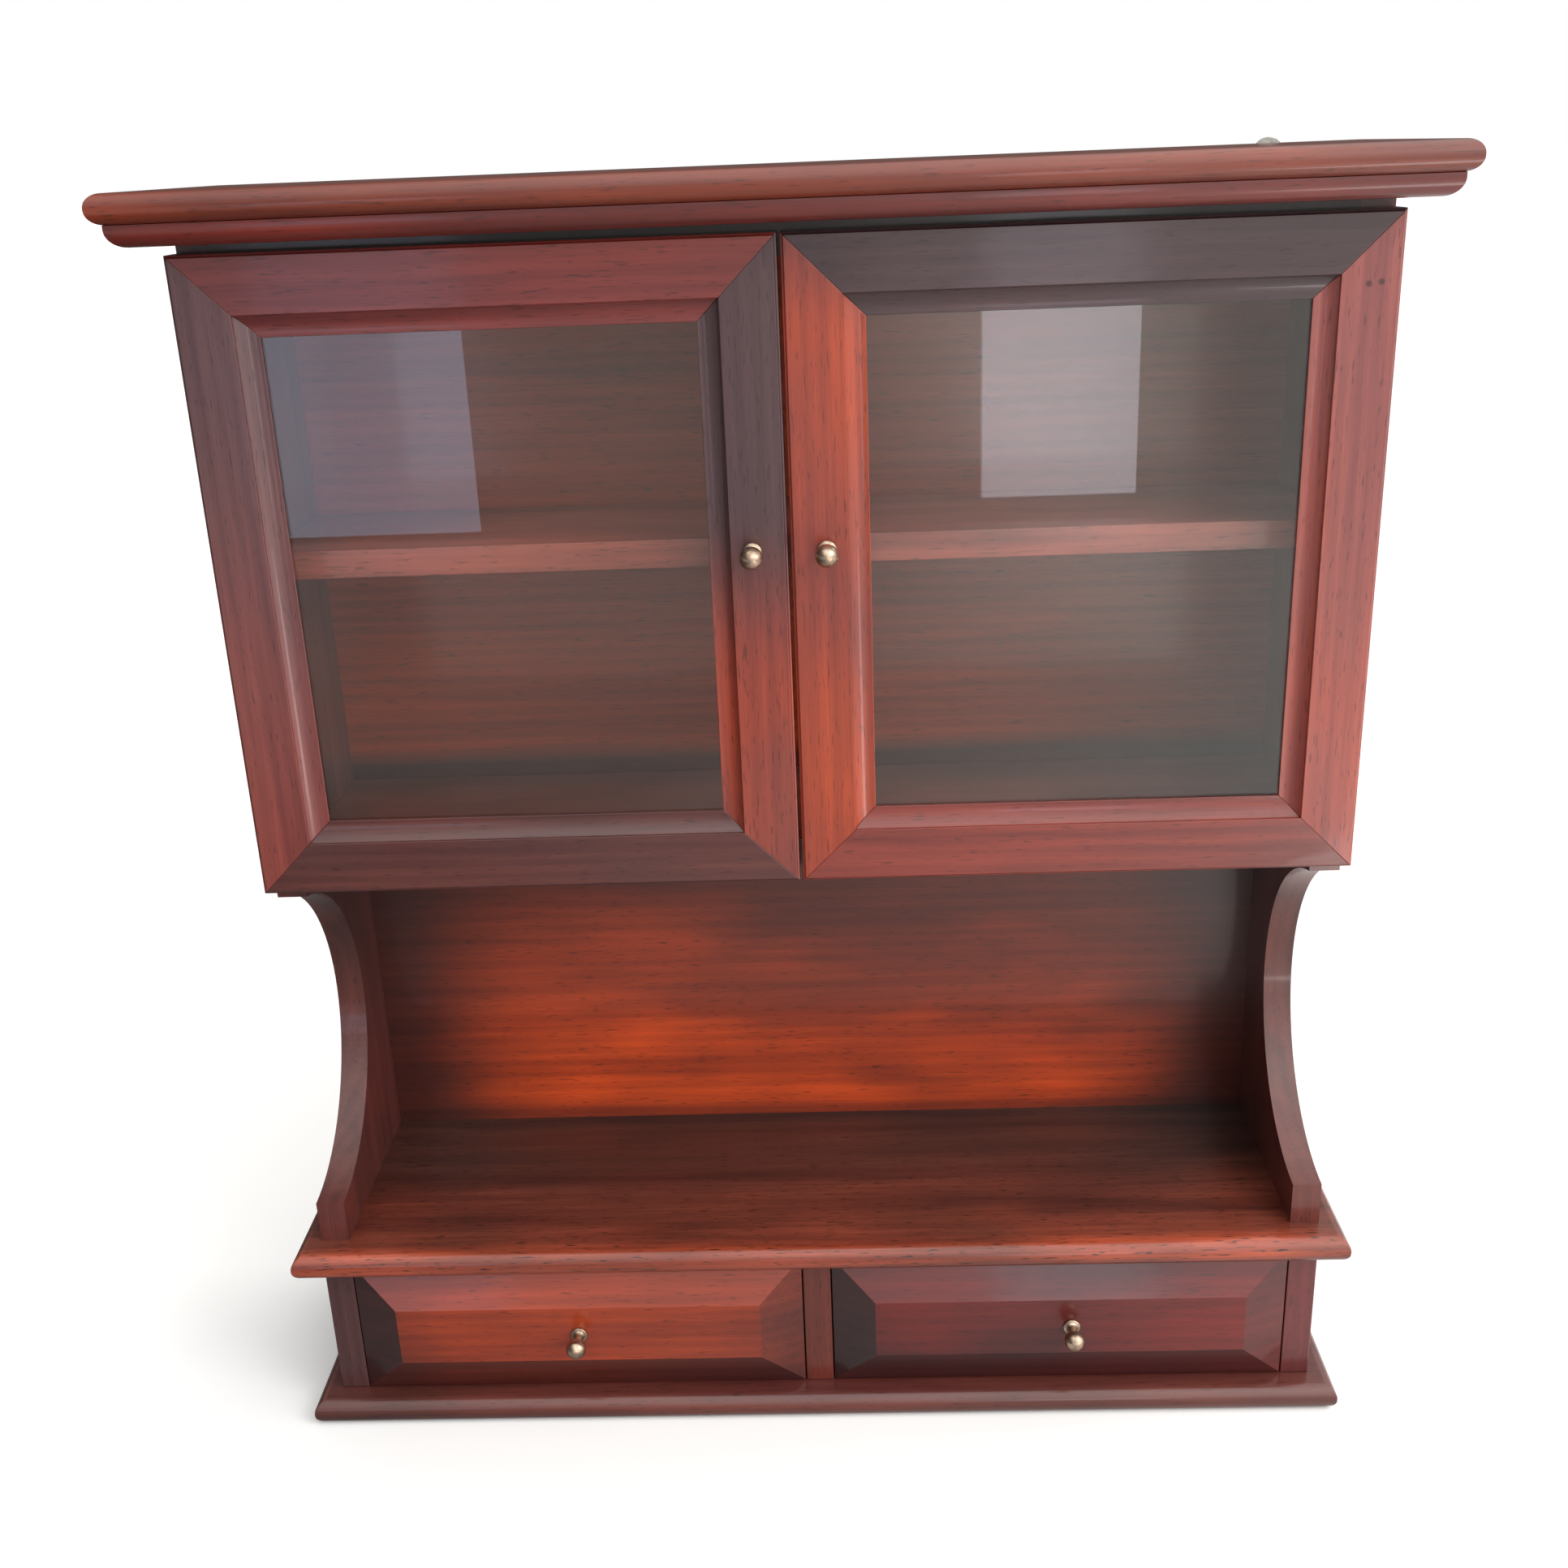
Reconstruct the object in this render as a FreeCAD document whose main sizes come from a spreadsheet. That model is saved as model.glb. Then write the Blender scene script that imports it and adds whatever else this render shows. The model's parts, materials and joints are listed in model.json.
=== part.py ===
import FreeCAD, Part
import math
import os
from types import SimpleNamespace

import Sketcher

# A small display bookcase in stained mahogany: a cabinet with two glazed doors over an open
# niche, and two drawers under a counter board. Millimetres, +Z up, front towards -Y, origin
# at the centre of the base board's underside.

doc = FreeCAD.newDocument("miniature_bookcase")
sheet = doc.addObject("Spreadsheet::Sheet", "Sizes")

SIZES = [
    # the whole case
    ("case_width", 500.0, "outside of one side panel to the outside of the other"),
    ("case_depth", 122.0, "plane of the door faces to the back"),
    ("board_thick", 14.0, "sides, divider, cabinet floor and cabinet top"),
    ("slab_thick", 13.0, "base board and counter board"),
    ("slab_side_reach", 12.0, "base and counter stand out past the sides"),
    ("slab_front_reach", 14.0, "base and counter stand out past the door faces"),
    ("nose_flat", 0.6, "flat left in the middle of a rounded board edge"),
    ("drawer_opening", 76.0, "base board to counter board"),
    ("niche_high", 193.5, "counter board to the underside of the cabinet"),
    ("cabinet_high", 288.0, "underside of the cabinet to the cornice"),
    ("back_thick", 7.0, "back panels"),
    # the scooped side panels
    ("toe_setback", 3.0, "foot of a side panel behind the door faces"),
    ("toe_high", 22.0, "upright front of a side panel's foot"),
    ("scoop_drop", 9.0, "top of the scoop below the cabinet"),
    ("scoop_deep", 71.5, "depth of the scoop behind its two ends"),
    # the cornice
    ("core_thick", 9.0, "board inside the cornice moulding"),
    ("cornice_thick", 12.0, "top board"),
    ("cornice_reach", 20.6, "top board past the sides and the door faces"),
    ("moulding_reach", 16.0, "moulding past the sides and the door faces"),
    ("moulding_round", 7.0, "radius of the moulding's quarter round"),
    # the shelf
    ("shelf_thick", 13.0, "inner shelf"),
    ("shelf_rise", 141.5, "underside of the cabinet to the underside of the shelf"),
    ("shelf_setback", 13.0, "shelf behind the cabinet's front edge"),
    ("shelf_gap", 0.5, "shelf to each side panel and to the back"),
    ("peg_round", 2.5, "radius of a shelf peg"),
    ("peg_deep", 8.0, "peg inside the side panel"),
    ("peg_out", 7.0, "peg outside the side panel"),
    ("peg_margin", 14.0, "peg's centre from the front or back edge of the shelf"),
    # the doors
    ("door_thick", 15.0, "door frame"),
    ("door_top_gap", 4.0, "door to the cornice"),
    ("door_middle_gap", 1.5, "one door to the other"),
    ("frame_wide", 34.0, "door frame with its moulded inner edge"),
    ("frame_flat", 24.5, "flat part of the door frame"),
    ("quirk_deep", 1.3, "step between the flat and the rounded inner edge"),
    ("lip_deep", 5.5, "front of the glass rebate behind the door face"),
    ("edge_ease", 1.2, "radius along a door's outer edge"),
    ("rebate_wide", 8.0, "width of the glass rebate"),
    ("glass_thick", 2.0, "window glass"),
    ("glass_gap", 1.0, "glass to the wall of its rebate"),
    ("lip_edge", 0.9, "upright edge of the lip that holds the glass"),
    ("lip_bow", 1.3, "how far the rounded inner edge stands in front of its chord"),
    ("bead_wide", 6.0, "glazing bead across"),
    ("bead_gap", 1.0, "glazing bead in from the back of the door"),
    ("bead_round", 3.0, "radius on a glazing bead"),
    ("door_knob_rise", 154.0, "knob above the bottom of the door"),
    ("door_knob_inset", 16.0, "knob from the middle of the case"),
    # the hinges
    ("leaf_thick", 0.7, "hinge leaf"),
    ("leaf_gap", 0.3, "leaf to leaf when the door is shut"),
    ("leaf_wide", 11.0, "leaf on the wood"),
    ("hinge_high", 40.0, "hinge, top to bottom"),
    ("hinge_margin", 45.0, "hinge's middle from the top or bottom of the door"),
    ("middle_knuckle", 14.0, "length of the door's knuckle"),
    ("knuckle_gap", 0.3, "knuckle to knuckle along the pin"),
    ("knuckle_round", 1.7, "outer radius of a knuckle"),
    ("knuckle_stand", 0.3, "knuckle clear of the wood"),
    ("pin_round", 1.0, "radius of a hinge pin"),
    ("pin_play", 0.05, "running clearance of a pin in the door's knuckle"),
    ("pin_head", 1.0, "height of a hinge pin's head"),
    ("hinge_screw_spread", 26.0, "from one screw of a hinge leaf to the other"),
    ("hinge_screw_inset", 5.5, "hinge screw from the case's outside"),
    ("hinge_screw_round", 0.9, "radius of a hinge screw's shank"),
    ("hinge_screw_head", 1.8, "radius of a hinge screw's head"),
    ("hinge_screw_long", 9.0, "hinge screw"),
    # the magnetic catches
    ("catch_wide", 30.0, "catch along the door"),
    ("catch_high", 12.0, "catch below the cabinet top"),
    ("catch_deep", 17.0, "catch front to back"),
    ("catch_inset", 32.0, "catch's middle from the middle of the case"),
    ("keeper_thick", 0.8, "steel plate on the door"),
    ("keeper_wide", 26.0, "steel plate along the door"),
    ("keeper_high", 9.0, "steel plate up the door"),
    ("catch_play", 0.3, "steel plate to catch"),
    # the drawers
    ("divider_thick", 14.0, "upright between the drawers"),
    ("drawer_play", 0.6, "drawer front to its opening"),
    ("front_edge_thick", 9.0, "drawer front at its edges"),
    ("field_rise", 9.0, "raised field in front of the edges"),
    ("bevel_wide", 21.5, "bevel round the raised field"),
    ("drawer_back_gap", 6.0, "back of a drawer to the back panel"),
    ("drawer_side_high", 58.0, "drawer sides"),
    ("drawer_side_thick", 8.0, "drawer sides and back"),
    ("drawer_box_inset", 1.0, "drawer sides in from the ends of the front"),
    ("drawer_lift", 0.3, "drawer above the base board"),
    ("drawer_back_drop", 5.0, "drawer back below the top of the sides"),
    ("bottom_thick", 3.0, "drawer bottom"),
    ("bottom_rise", 4.0, "drawer bottom above the lower edge of the sides"),
    ("groove_deep", 4.0, "drawer bottom inside the sides and the front"),
    # the brass knobs
    ("ball_round", 5.0, "radius of the knob's ball"),
    ("neck_round", 2.2, "radius of the knob's neck"),
    ("knob_high", 16.0, "knob from the wood to the top of its ball"),
    ("right_knob_shift", 6.0, "right drawer's knob to the right of the drawer's middle"),
    ("rose_high", 1.0, "upright edge of the knob's foot"),
    ("rose_cove", 2.1, "radius of the hollow between foot and neck"),
    ("knob_screw_round", 1.5, "radius of a knob's screw"),
    ("knob_screw_bite", 8.0, "knob's screw inside the knob"),
    ("knob_screw_head", 3.0, "radius of a knob screw's head"),
    ("knob_screw_head_high", 2.0, "height of a knob screw's head"),
    # the wall hangers
    ("hanger_inset", 223.0, "hanger from the middle of the case"),
    ("hanger_stand", 2.6, "right hanger above the cornice"),
    ("hanger_drop", 3.4, "left hanger below the right one"),
    ("hanger_wide", 14.0, "hanger plate"),
    ("hanger_high", 38.0, "hanger plate"),
    ("hanger_thick", 1.2, "hanger plate"),
    ("hanger_screw_top", 8.0, "upper screw below the plate's top"),
    ("hanger_screw_low", 31.0, "lower screw below the plate's top"),
    ("keyhole_drop", 21.0, "middle of the keyhole below the plate's top"),
    ("keyhole_round", 4.0, "radius of the keyhole"),
    ("keyslot_round", 2.0, "half the width of the keyhole's slot"),
    ("keyslot_rise", 4.0, "keyhole's middle to the middle of the slot's end"),
    ("recess_deep", 5.0, "recess behind the keyhole"),
    ("recess_play", 1.0, "recess round the keyhole"),
    ("hanger_screw_round", 1.2, "radius of a hanger screw's shank"),
    ("hanger_screw_head", 2.6, "radius of a hanger screw's head"),
    ("hanger_screw_long", 16.0, "hanger screw"),
]


class Size:
    """A length that carries its number and the sheet formula that gives it."""

    def __init__(self, value, formula):
        self.value = value
        self.formula = formula

    def __add__(self, other):
        other = as_size(other)
        return Size(self.value + other.value, f"({self.formula} + {other.formula})")

    def __sub__(self, other):
        other = as_size(other)
        return Size(self.value - other.value, f"({self.formula} - {other.formula})")

    def __mul__(self, other):
        other = as_size(other)
        return Size(self.value * other.value, f"{self.formula} * {other.formula}")

    def __truediv__(self, other):
        other = as_size(other)
        return Size(self.value / other.value, f"{self.formula} / ({other.formula})")

    def __neg__(self):
        return Size(-self.value, f"(0 - {self.formula})")

    def root(self):
        return Size(math.sqrt(self.value), f"sqrt({self.formula})")


def as_size(number):
    """Lets a plain number stand in a sum of sizes."""
    return number if isinstance(number, Size) else Size(float(number), f"({number})")


for row, (alias, value, meaning) in enumerate(SIZES, start=1):
    sheet.set(f"A{row}", alias)
    sheet.set(f"B{row}", str(value))
    sheet.set(f"C{row}", meaning)
    sheet.setAlias(f"B{row}", alias)
doc.recompute()

s = SimpleNamespace(**{alias: Size(value, f"Sizes.{alias}") for alias, value, _ in SIZES})
ZERO = as_size(0)
LEFT, RIGHT = -1, 1
SIDES = {"left": LEFT, "right": RIGHT}

# ---------------------------------------------------------------- planes and levels

half_width = s.case_width / 2
inner_half = half_width - s.board_thick
back_face = (s.case_depth + s.slab_front_reach) / 2
door_face = back_face - s.case_depth
door_back = door_face + s.door_thick
hinge_gap = s.leaf_thick * 2 + s.leaf_gap
frame_face = door_back + hinge_gap
panel_face = back_face - s.back_thick
toe_face = door_face + s.toe_setback

base_top = s.slab_thick
counter_low = base_top + s.drawer_opening
counter_top = counter_low + s.slab_thick
cabinet_low = counter_top + s.niche_high
cabinet_top = cabinet_low + s.cabinet_high
core_top = cabinet_top + s.core_thick
case_top = core_top + s.cornice_thick

door_high = s.cabinet_high - s.door_top_gap
door_inner = s.door_middle_gap / 2
door_wide = half_width - door_inner
door_top = cabinet_low + door_high
glass_front = door_face + s.lip_deep
rebate_edge = s.frame_wide - s.rebate_wide

# ---------------------------------------------------------------- ways of making a piece

subparts = {}


def bind(piece, **formulas):
    """Ties properties of an object to the sheet."""
    for name, size in formulas.items():
        piece.setExpression(name, as_size(size).formula)


def place(piece, x=ZERO, y=ZERO, z=ZERO, turn=None):
    """Puts an object at a point that follows the sheet, turned by a fixed rotation."""
    if turn:
        piece.Placement = FreeCAD.Placement(FreeCAD.Vector(), turn)
    for axis, size in (("x", x), ("y", y), ("z", z)):
        piece.setExpression(f"Placement.Base.{axis}", as_size(size).formula)


def keep(label, piece):
    """Names an object as one of the sub-parts."""
    piece.Label = label
    subparts[label] = piece
    return piece


def mirrored(side, near, far):
    """A span from near to far of the middle plane, on the left or on the right."""
    return (near, far) if side == RIGHT else (-far, -near)


def board(name, x, y, z):
    """A squared piece between two planes each way."""
    piece = doc.addObject("Part::Box", name)
    bind(piece, Length=x[1] - x[0], Width=y[1] - y[0], Height=z[1] - z[0])
    place(piece, x[0], y[0], z[0])
    return piece


class Bow:
    """Makes the next edge of an outline an arc that stands a rise to the left of its chord."""

    def __init__(self, rise):
        self.rise = as_size(rise)


def quarter(radius):
    """The rise of a quarter circle, to the left of its chord, or to the right if negative."""
    return Bow(radius * (1 - math.sqrt(0.5)))


def add_arc(sketch, start, end, rise):
    """Adds an arc from start to end and returns its number and its start and end vertex."""
    dx, dy = end[0].value - start[0].value, end[1].value - start[1].value
    chord = math.hypot(dx, dy)
    radius = (chord ** 2 / 4 + rise.value ** 2) / (2 * abs(rise.value))
    left_x, left_y = -dy / chord, dx / chord
    reach = rise.value - math.copysign(radius, rise.value)
    centre = FreeCAD.Vector((start[0].value + end[0].value) / 2 + left_x * reach,
                            (start[1].value + end[1].value) / 2 + left_y * reach, 0)
    angles = [math.atan2(p[1].value - centre.y, p[0].value - centre.x) for p in (start, end)]
    clockwise = rise.value > 0
    if clockwise:
        angles.reverse()
    if angles[1] < angles[0]:
        angles[1] += 2 * math.pi
    circle = Part.Circle(centre, FreeCAD.Vector(0, 0, 1), radius)
    edge = sketch.addGeometry(Part.ArcOfCircle(circle, angles[0], angles[1]))
    across = [end[i] - start[i] for i in (0, 1)]
    chord_squared = across[0] * across[0] + across[1] * across[1]
    size = (chord_squared / 4 + rise * rise) / (rise * math.copysign(2, rise.value))
    number = sketch.addConstraint(Sketcher.Constraint("Radius", edge, radius))
    sketch.setExpression(f"Constraints[{number}]", size.formula)
    return edge, (2, 1) if clockwise else (1, 2)


def draw(sketch, items):
    """Draws one closed outline of points, with a Bow between two points that an arc joins."""
    points = [tuple(as_size(c) for c in item) for item in items if not isinstance(item, Bow)]
    rises = []
    for place_in_list, item in enumerate(items):
        if isinstance(item, Bow):
            rises[-1] = item.rise
        else:
            rises.append(None)
    edges = []
    for start, end, rise in zip(points, points[1:] + points[:1], rises):
        if rise:
            edges.append(add_arc(sketch, start, end, rise))
        else:
            line = Part.LineSegment(FreeCAD.Vector(start[0].value, start[1].value, 0),
                                    FreeCAD.Vector(end[0].value, end[1].value, 0))
            edges.append((sketch.addGeometry(line), (1, 2)))
    for (before, ends_before), (edge, ends) in zip(edges[-1:] + edges[:-1], edges):
        sketch.addConstraint(Sketcher.Constraint("Coincident", before, ends_before[1], edge, ends[0]))
    for (edge, ends), point in zip(edges, points):
        for kind, axis, size in (("DistanceX", -2, point[0]), ("DistanceY", -1, point[1])):
            if size is ZERO:
                sketch.addConstraint(Sketcher.Constraint("PointOnObject", edge, ends[0], axis))
                continue
            number = sketch.addConstraint(
                Sketcher.Constraint(kind, -1, 1, edge, ends[0], size.value))
            sketch.setExpression(f"Constraints[{number}]", size.formula)


# A sketch square to an axis reads the other two: (y, z), (x, z) or (x, y).
SKETCH_TURN = {"x": FreeCAD.Rotation(FreeCAD.Vector(1, 1, 1), 120),
               "y": FreeCAD.Rotation(FreeCAD.Vector(1, 0, 0), 90),
               "z": FreeCAD.Rotation()}
AXIS = {"x": FreeCAD.Vector(1, 0, 0), "y": FreeCAD.Vector(0, 1, 0), "z": FreeCAD.Vector(0, 0, 1)}
SKETCH_PLANE = {"x": "YZ_Plane", "y": "XZ_Plane", "z": "XY_Plane"}


def prism(name, axis, items, low, high):
    """An outline square to an axis, carried along it from low to high."""
    sketch = doc.addObject("Sketcher::SketchObject", f"{name}_outline")
    draw(sketch, items)
    place(sketch, **{axis: low}, turn=SKETCH_TURN[axis])
    piece = doc.addObject("Part::Extrusion", name)
    piece.Base = sketch
    piece.DirMode = "Custom"
    piece.Dir = AXIS[axis]
    piece.Solid = True
    bind(piece, LengthFwd=high - low)
    return piece


def new_body(name, axis, items):
    """A body with one sketch on its own origin plane square to the axis."""
    body = doc.addObject("PartDesign::Body", name)
    sketch = body.newObject("Sketcher::SketchObject", f"{name}_sketch")
    plane = [p for p in body.Origin.OriginFeatures if p.Role == SKETCH_PLANE[axis]][0]
    sketch.AttachmentSupport = [(plane, "")]
    sketch.MapMode = "FlatFace"
    for outline in items:
        draw(sketch, outline)
    return body, sketch


def padded_body(name, axis, items, length):
    """A body that is one pad along the axis."""
    body, sketch = new_body(name, axis, items)
    pad = body.newObject("PartDesign::Pad", f"{name}_pad")
    pad.Profile = sketch
    pad.Reversed = axis == "y"
    bind(pad, Length=length)
    doc.recompute()
    return body, pad


def turned_body(name, items):
    """A body turned about its own Y axis from an outline of (radius, height)."""
    body, sketch = new_body(name, "z", [items])
    turning = body.newObject("PartDesign::Revolution", f"{name}_turning")
    turning.Profile = sketch
    turning.ReferenceAxis = (sketch, ["V_Axis"])
    turning.Angle = 360
    return body


def joined(name, *pieces):
    """Several shapes made one solid."""
    piece = doc.addObject("Part::MultiFuse", name)
    piece.Shapes = list(pieces)
    piece.Refine = True
    return piece


def shared(name, *pieces):
    """What several shapes have in common."""
    piece = doc.addObject("Part::MultiCommon", name)
    piece.Shapes = list(pieces)
    return piece


def group(name, pieces):
    """Separate solids of one kind kept together."""
    piece = doc.addObject("Part::Compound", name)
    piece.Links = list(pieces)
    return piece


def less(name, piece, *cutters):
    """A shape with others cut out of it, so that they fit it exactly."""
    result = doc.addObject("Part::Cut", name)
    result.Base = piece
    result.Tool = cutters[0] if len(cutters) == 1 else group(f"{name}_cutters", cutters)
    return result


TOWARDS = {"+y": FreeCAD.Rotation(FreeCAD.Vector(1, 0, 0), -90),
           "-y": FreeCAD.Rotation(FreeCAD.Vector(1, 0, 0), 90),
           "+x": FreeCAD.Rotation(FreeCAD.Vector(0, 1, 0), 90),
           "+z": FreeCAD.Rotation()}


def rod(name, radius, length, towards, x, y, z):
    """A round rod that starts at a point and runs one way."""
    piece = doc.addObject("Part::Cylinder", name)
    bind(piece, Radius=radius, Height=length)
    place(piece, x, y, z, turn=TOWARDS[towards])
    return piece


def countersunk(name, head, shank, head_high, length, towards, x, y, z):
    """A flat-headed screw whose head lies flush at a point."""
    cone = doc.addObject("Part::Cone", f"{name}_head")
    bind(cone, Radius1=head, Radius2=shank, Height=head_high)
    place(cone, x, y, z, turn=TOWARDS[towards])
    stem = rod(f"{name}_stem", shank, length, towards, x, y, z)
    return joined(name, cone, stem)


# ---------------------------------------------------------------- base, counter and cornice top


def nosed_board(label, side_reach, front_reach, low, thick):
    """A board whose front and two ends are rounded, with its back edge left square."""
    reach = half_width + side_reach
    front = door_face - front_reach
    corners = [(-reach, front), (reach, front), (reach, back_face), (-reach, back_face)]
    body, pad = padded_body(f"{label}_body", "z", [corners], thick)
    bounds = pad.Shape.BoundBox
    rounded = []
    for number, edge in enumerate(pad.Shape.Edges, start=1):
        box = edge.BoundBox
        flat = box.ZLength < 1e-6
        at_back = abs(box.YMin - bounds.YMax) < 1e-6
        if flat and not at_back:
            rounded.append(f"Edge{number}")
    nose = body.newObject("PartDesign::Fillet", f"{label}_nose")
    nose.Base = (pad, rounded)
    bind(nose, Radius=(thick - s.nose_flat) / 2)
    place(body, z=low)
    return body


keep("base_board",
     nosed_board("base", s.slab_side_reach, s.slab_front_reach, ZERO, s.slab_thick))
keep("counter_board",
     nosed_board("counter", s.slab_side_reach, s.slab_front_reach, counter_low, s.slab_thick))
cornice_top = nosed_board("cornice", s.cornice_reach, s.cornice_reach, core_top, s.cornice_thick)

# The moulding is a quarter round under a short upright fillet, mitred at the front corners.
low_corner = s.moulding_reach - s.moulding_round
round_top = cabinet_top + s.moulding_round
moulding_front = prism("moulding_front_strip", "x", [
    (door_face, cabinet_top), (door_face, core_top), (door_face - s.moulding_reach, core_top),
    (door_face - s.moulding_reach, round_top), quarter(-s.moulding_round),
    (door_face - low_corner, cabinet_top)],
    -(half_width + s.moulding_reach), half_width + s.moulding_reach)
front_plan = prism("moulding_front_plan", "z", [
    (-half_width, door_face), (-half_width - s.moulding_reach, door_face - s.moulding_reach),
    (half_width + s.moulding_reach, door_face - s.moulding_reach), (half_width, door_face)],
    cabinet_top, core_top)
keep("cornice_moulding_front", shared("moulding_front", moulding_front, front_plan))

for side_name, side in SIDES.items():
    outward = s.moulding_reach if side == RIGHT else -s.moulding_reach
    outline_corner = low_corner if side == RIGHT else -low_corner
    wall = half_width if side == RIGHT else -half_width
    bulge = -s.moulding_round if side == LEFT else s.moulding_round
    strip = prism(f"moulding_{side_name}_strip", "y", [
        (wall, cabinet_top), (wall, core_top), (wall + outward, core_top),
        (wall + outward, round_top), quarter(bulge), (wall + outline_corner, cabinet_top)],
        door_face - s.moulding_reach, back_face)
    plan = prism(f"moulding_{side_name}_plan", "z", [
        (wall, door_face), (wall + outward, door_face - s.moulding_reach),
        (wall + outward, back_face), (wall, back_face)], cabinet_top, core_top)
    keep(f"cornice_moulding_{side_name}", shared(f"moulding_{side_name}", strip, plan))

# ---------------------------------------------------------------- wall hangers on the back

plates = []
hanger_screws = []
recesses = []
for side_name, side in SIDES.items():
    centre = s.hanger_inset if side == RIGHT else -s.hanger_inset
    plate_top = case_top + s.hanger_stand
    if side == LEFT:
        plate_top = plate_top - s.hanger_drop
    end = s.hanger_wide / 2
    keyhole = plate_top - s.keyhole_drop
    slot_end = keyhole + s.keyslot_rise
    plate_low = plate_top - s.hanger_high
    rim = [(centre + end, plate_top - end), quarter(-end), (centre, plate_top), quarter(-end),
           (centre - end, plate_top - end), (centre - end, plate_low + end), quarter(-end),
           (centre, plate_low), quarter(-end), (centre + end, plate_low + end)]
    blank = prism(f"hanger_{side_name}_blank", "y", rim, back_face, back_face + s.hanger_thick)
    round_hole = rod(f"keyhole_{side_name}", s.keyhole_round, s.hanger_thick, "+y",
                     centre, back_face, keyhole)
    slot_hole = rod(f"keyslot_{side_name}_end", s.keyslot_round, s.hanger_thick, "+y",
                    centre, back_face, slot_end)
    slot = board(f"keyslot_{side_name}", (centre - s.keyslot_round, centre + s.keyslot_round),
                 (back_face, back_face + s.hanger_thick), (keyhole, slot_end))
    opening = joined(f"keyhole_{side_name}_opening", round_hole, slot_hole, slot)
    screws = [countersunk(f"hanger_screw_{side_name}_{name}", s.hanger_screw_head,
                          s.hanger_screw_round, s.hanger_thick, s.hanger_screw_long, "-y",
                          centre, back_face + s.hanger_thick, plate_top - drop)
              for name, drop in (("top", s.hanger_screw_top), ("low", s.hanger_screw_low))]
    hanger_screws += screws
    plates.append(less(f"hanger_{side_name}_plate", blank, opening, *screws))
    margin = s.keyhole_round + s.recess_play
    recesses.append(board(f"recess_{side_name}", (centre - margin, centre + margin),
                          (back_face - s.recess_deep, back_face),
                          (keyhole - margin, slot_end + s.keyslot_round)))
keep("hanger_plates", group("hangers", plates))
keep("hanger_screws", group("hanger_screw_set", hanger_screws))
keep("cornice_top_board", less("cornice_top_drilled", cornice_top, *hanger_screws))

# ---------------------------------------------------------------- the cabinet's squared boards

inside = (-inner_half, inner_half)
behind_doors = (frame_face, panel_face)

core = board("core_blank", (-half_width, half_width), (door_face, back_face), (cabinet_top, core_top))
keep("cornice_core", less("core_recessed", core, *recesses))
ceiling = board("cabinet_top_blank", inside, behind_doors, (cabinet_top - s.board_thick, cabinet_top))
keep("cabinet_top", less("cabinet_top_drilled", ceiling, *hanger_screws))
keep("cabinet_floor", board("cabinet_floor_board", inside, behind_doors,
                            (cabinet_low, cabinet_low + s.board_thick)))
panel = board("back_panel_blank", inside, (panel_face, back_face), (counter_top, cabinet_top))
keep("back_panel", less("back_panel_recessed", panel, *recesses, *hanger_screws))

shelf_low = cabinet_low + s.shelf_rise
shelf_front = frame_face + s.shelf_setback
shelf_back = panel_face - s.shelf_gap
keep("interior_shelf", board("shelf_board", (s.shelf_gap - inner_half, inner_half - s.shelf_gap),
                             (shelf_front, shelf_back), (shelf_low, shelf_low + s.shelf_thick)))

# ---------------------------------------------------------------- the drawer case

case_span = (base_top, counter_low)
keep("drawer_case_back", board("case_back", inside, (panel_face, back_face), case_span))
keep("drawer_divider", board("divider", (-(s.divider_thick / 2), s.divider_thick / 2),
                             (door_face, panel_face), case_span))
for side_name, side in SIDES.items():
    keep(f"drawer_case_side_{side_name}",
         board(f"case_side_{side_name}", mirrored(side, inner_half, half_width),
               (door_face, back_face), case_span))

# ---------------------------------------------------------------- hinges

pin_x = half_width + s.knuckle_stand + s.knuckle_round
pin_y = frame_face - hinge_gap / 2
HINGE_LEVELS = {"lower": cabinet_low + s.hinge_margin, "upper": door_top - s.hinge_margin}


def knuckled_leaf(name, side, plate_y, spans, level, bore):
    """A hinge leaf's plate with knuckles over the given spans of height, bored for the pin."""
    whole = (level - s.hinge_high / 2, level + s.hinge_high / 2)
    solids = [board(f"{name}_plate", mirrored(side, half_width - s.leaf_wide, half_width),
                    plate_y, whole)]
    centre = pin_x if side == RIGHT else -pin_x
    for number, (low, high) in enumerate(spans):
        solids.append(board(f"{name}_tab{number}", mirrored(side, half_width, pin_x), plate_y,
                            (low, high)))
        solids.append(rod(f"{name}_knuckle{number}", s.knuckle_round, high - low, "+z",
                          centre, pin_y, low))
    hole = rod(f"{name}_bore", bore, s.hinge_high, "+z", centre, pin_y, whole[0])
    return less(f"{name}_bored", joined(f"{name}_blank", *solids), hole)


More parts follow.
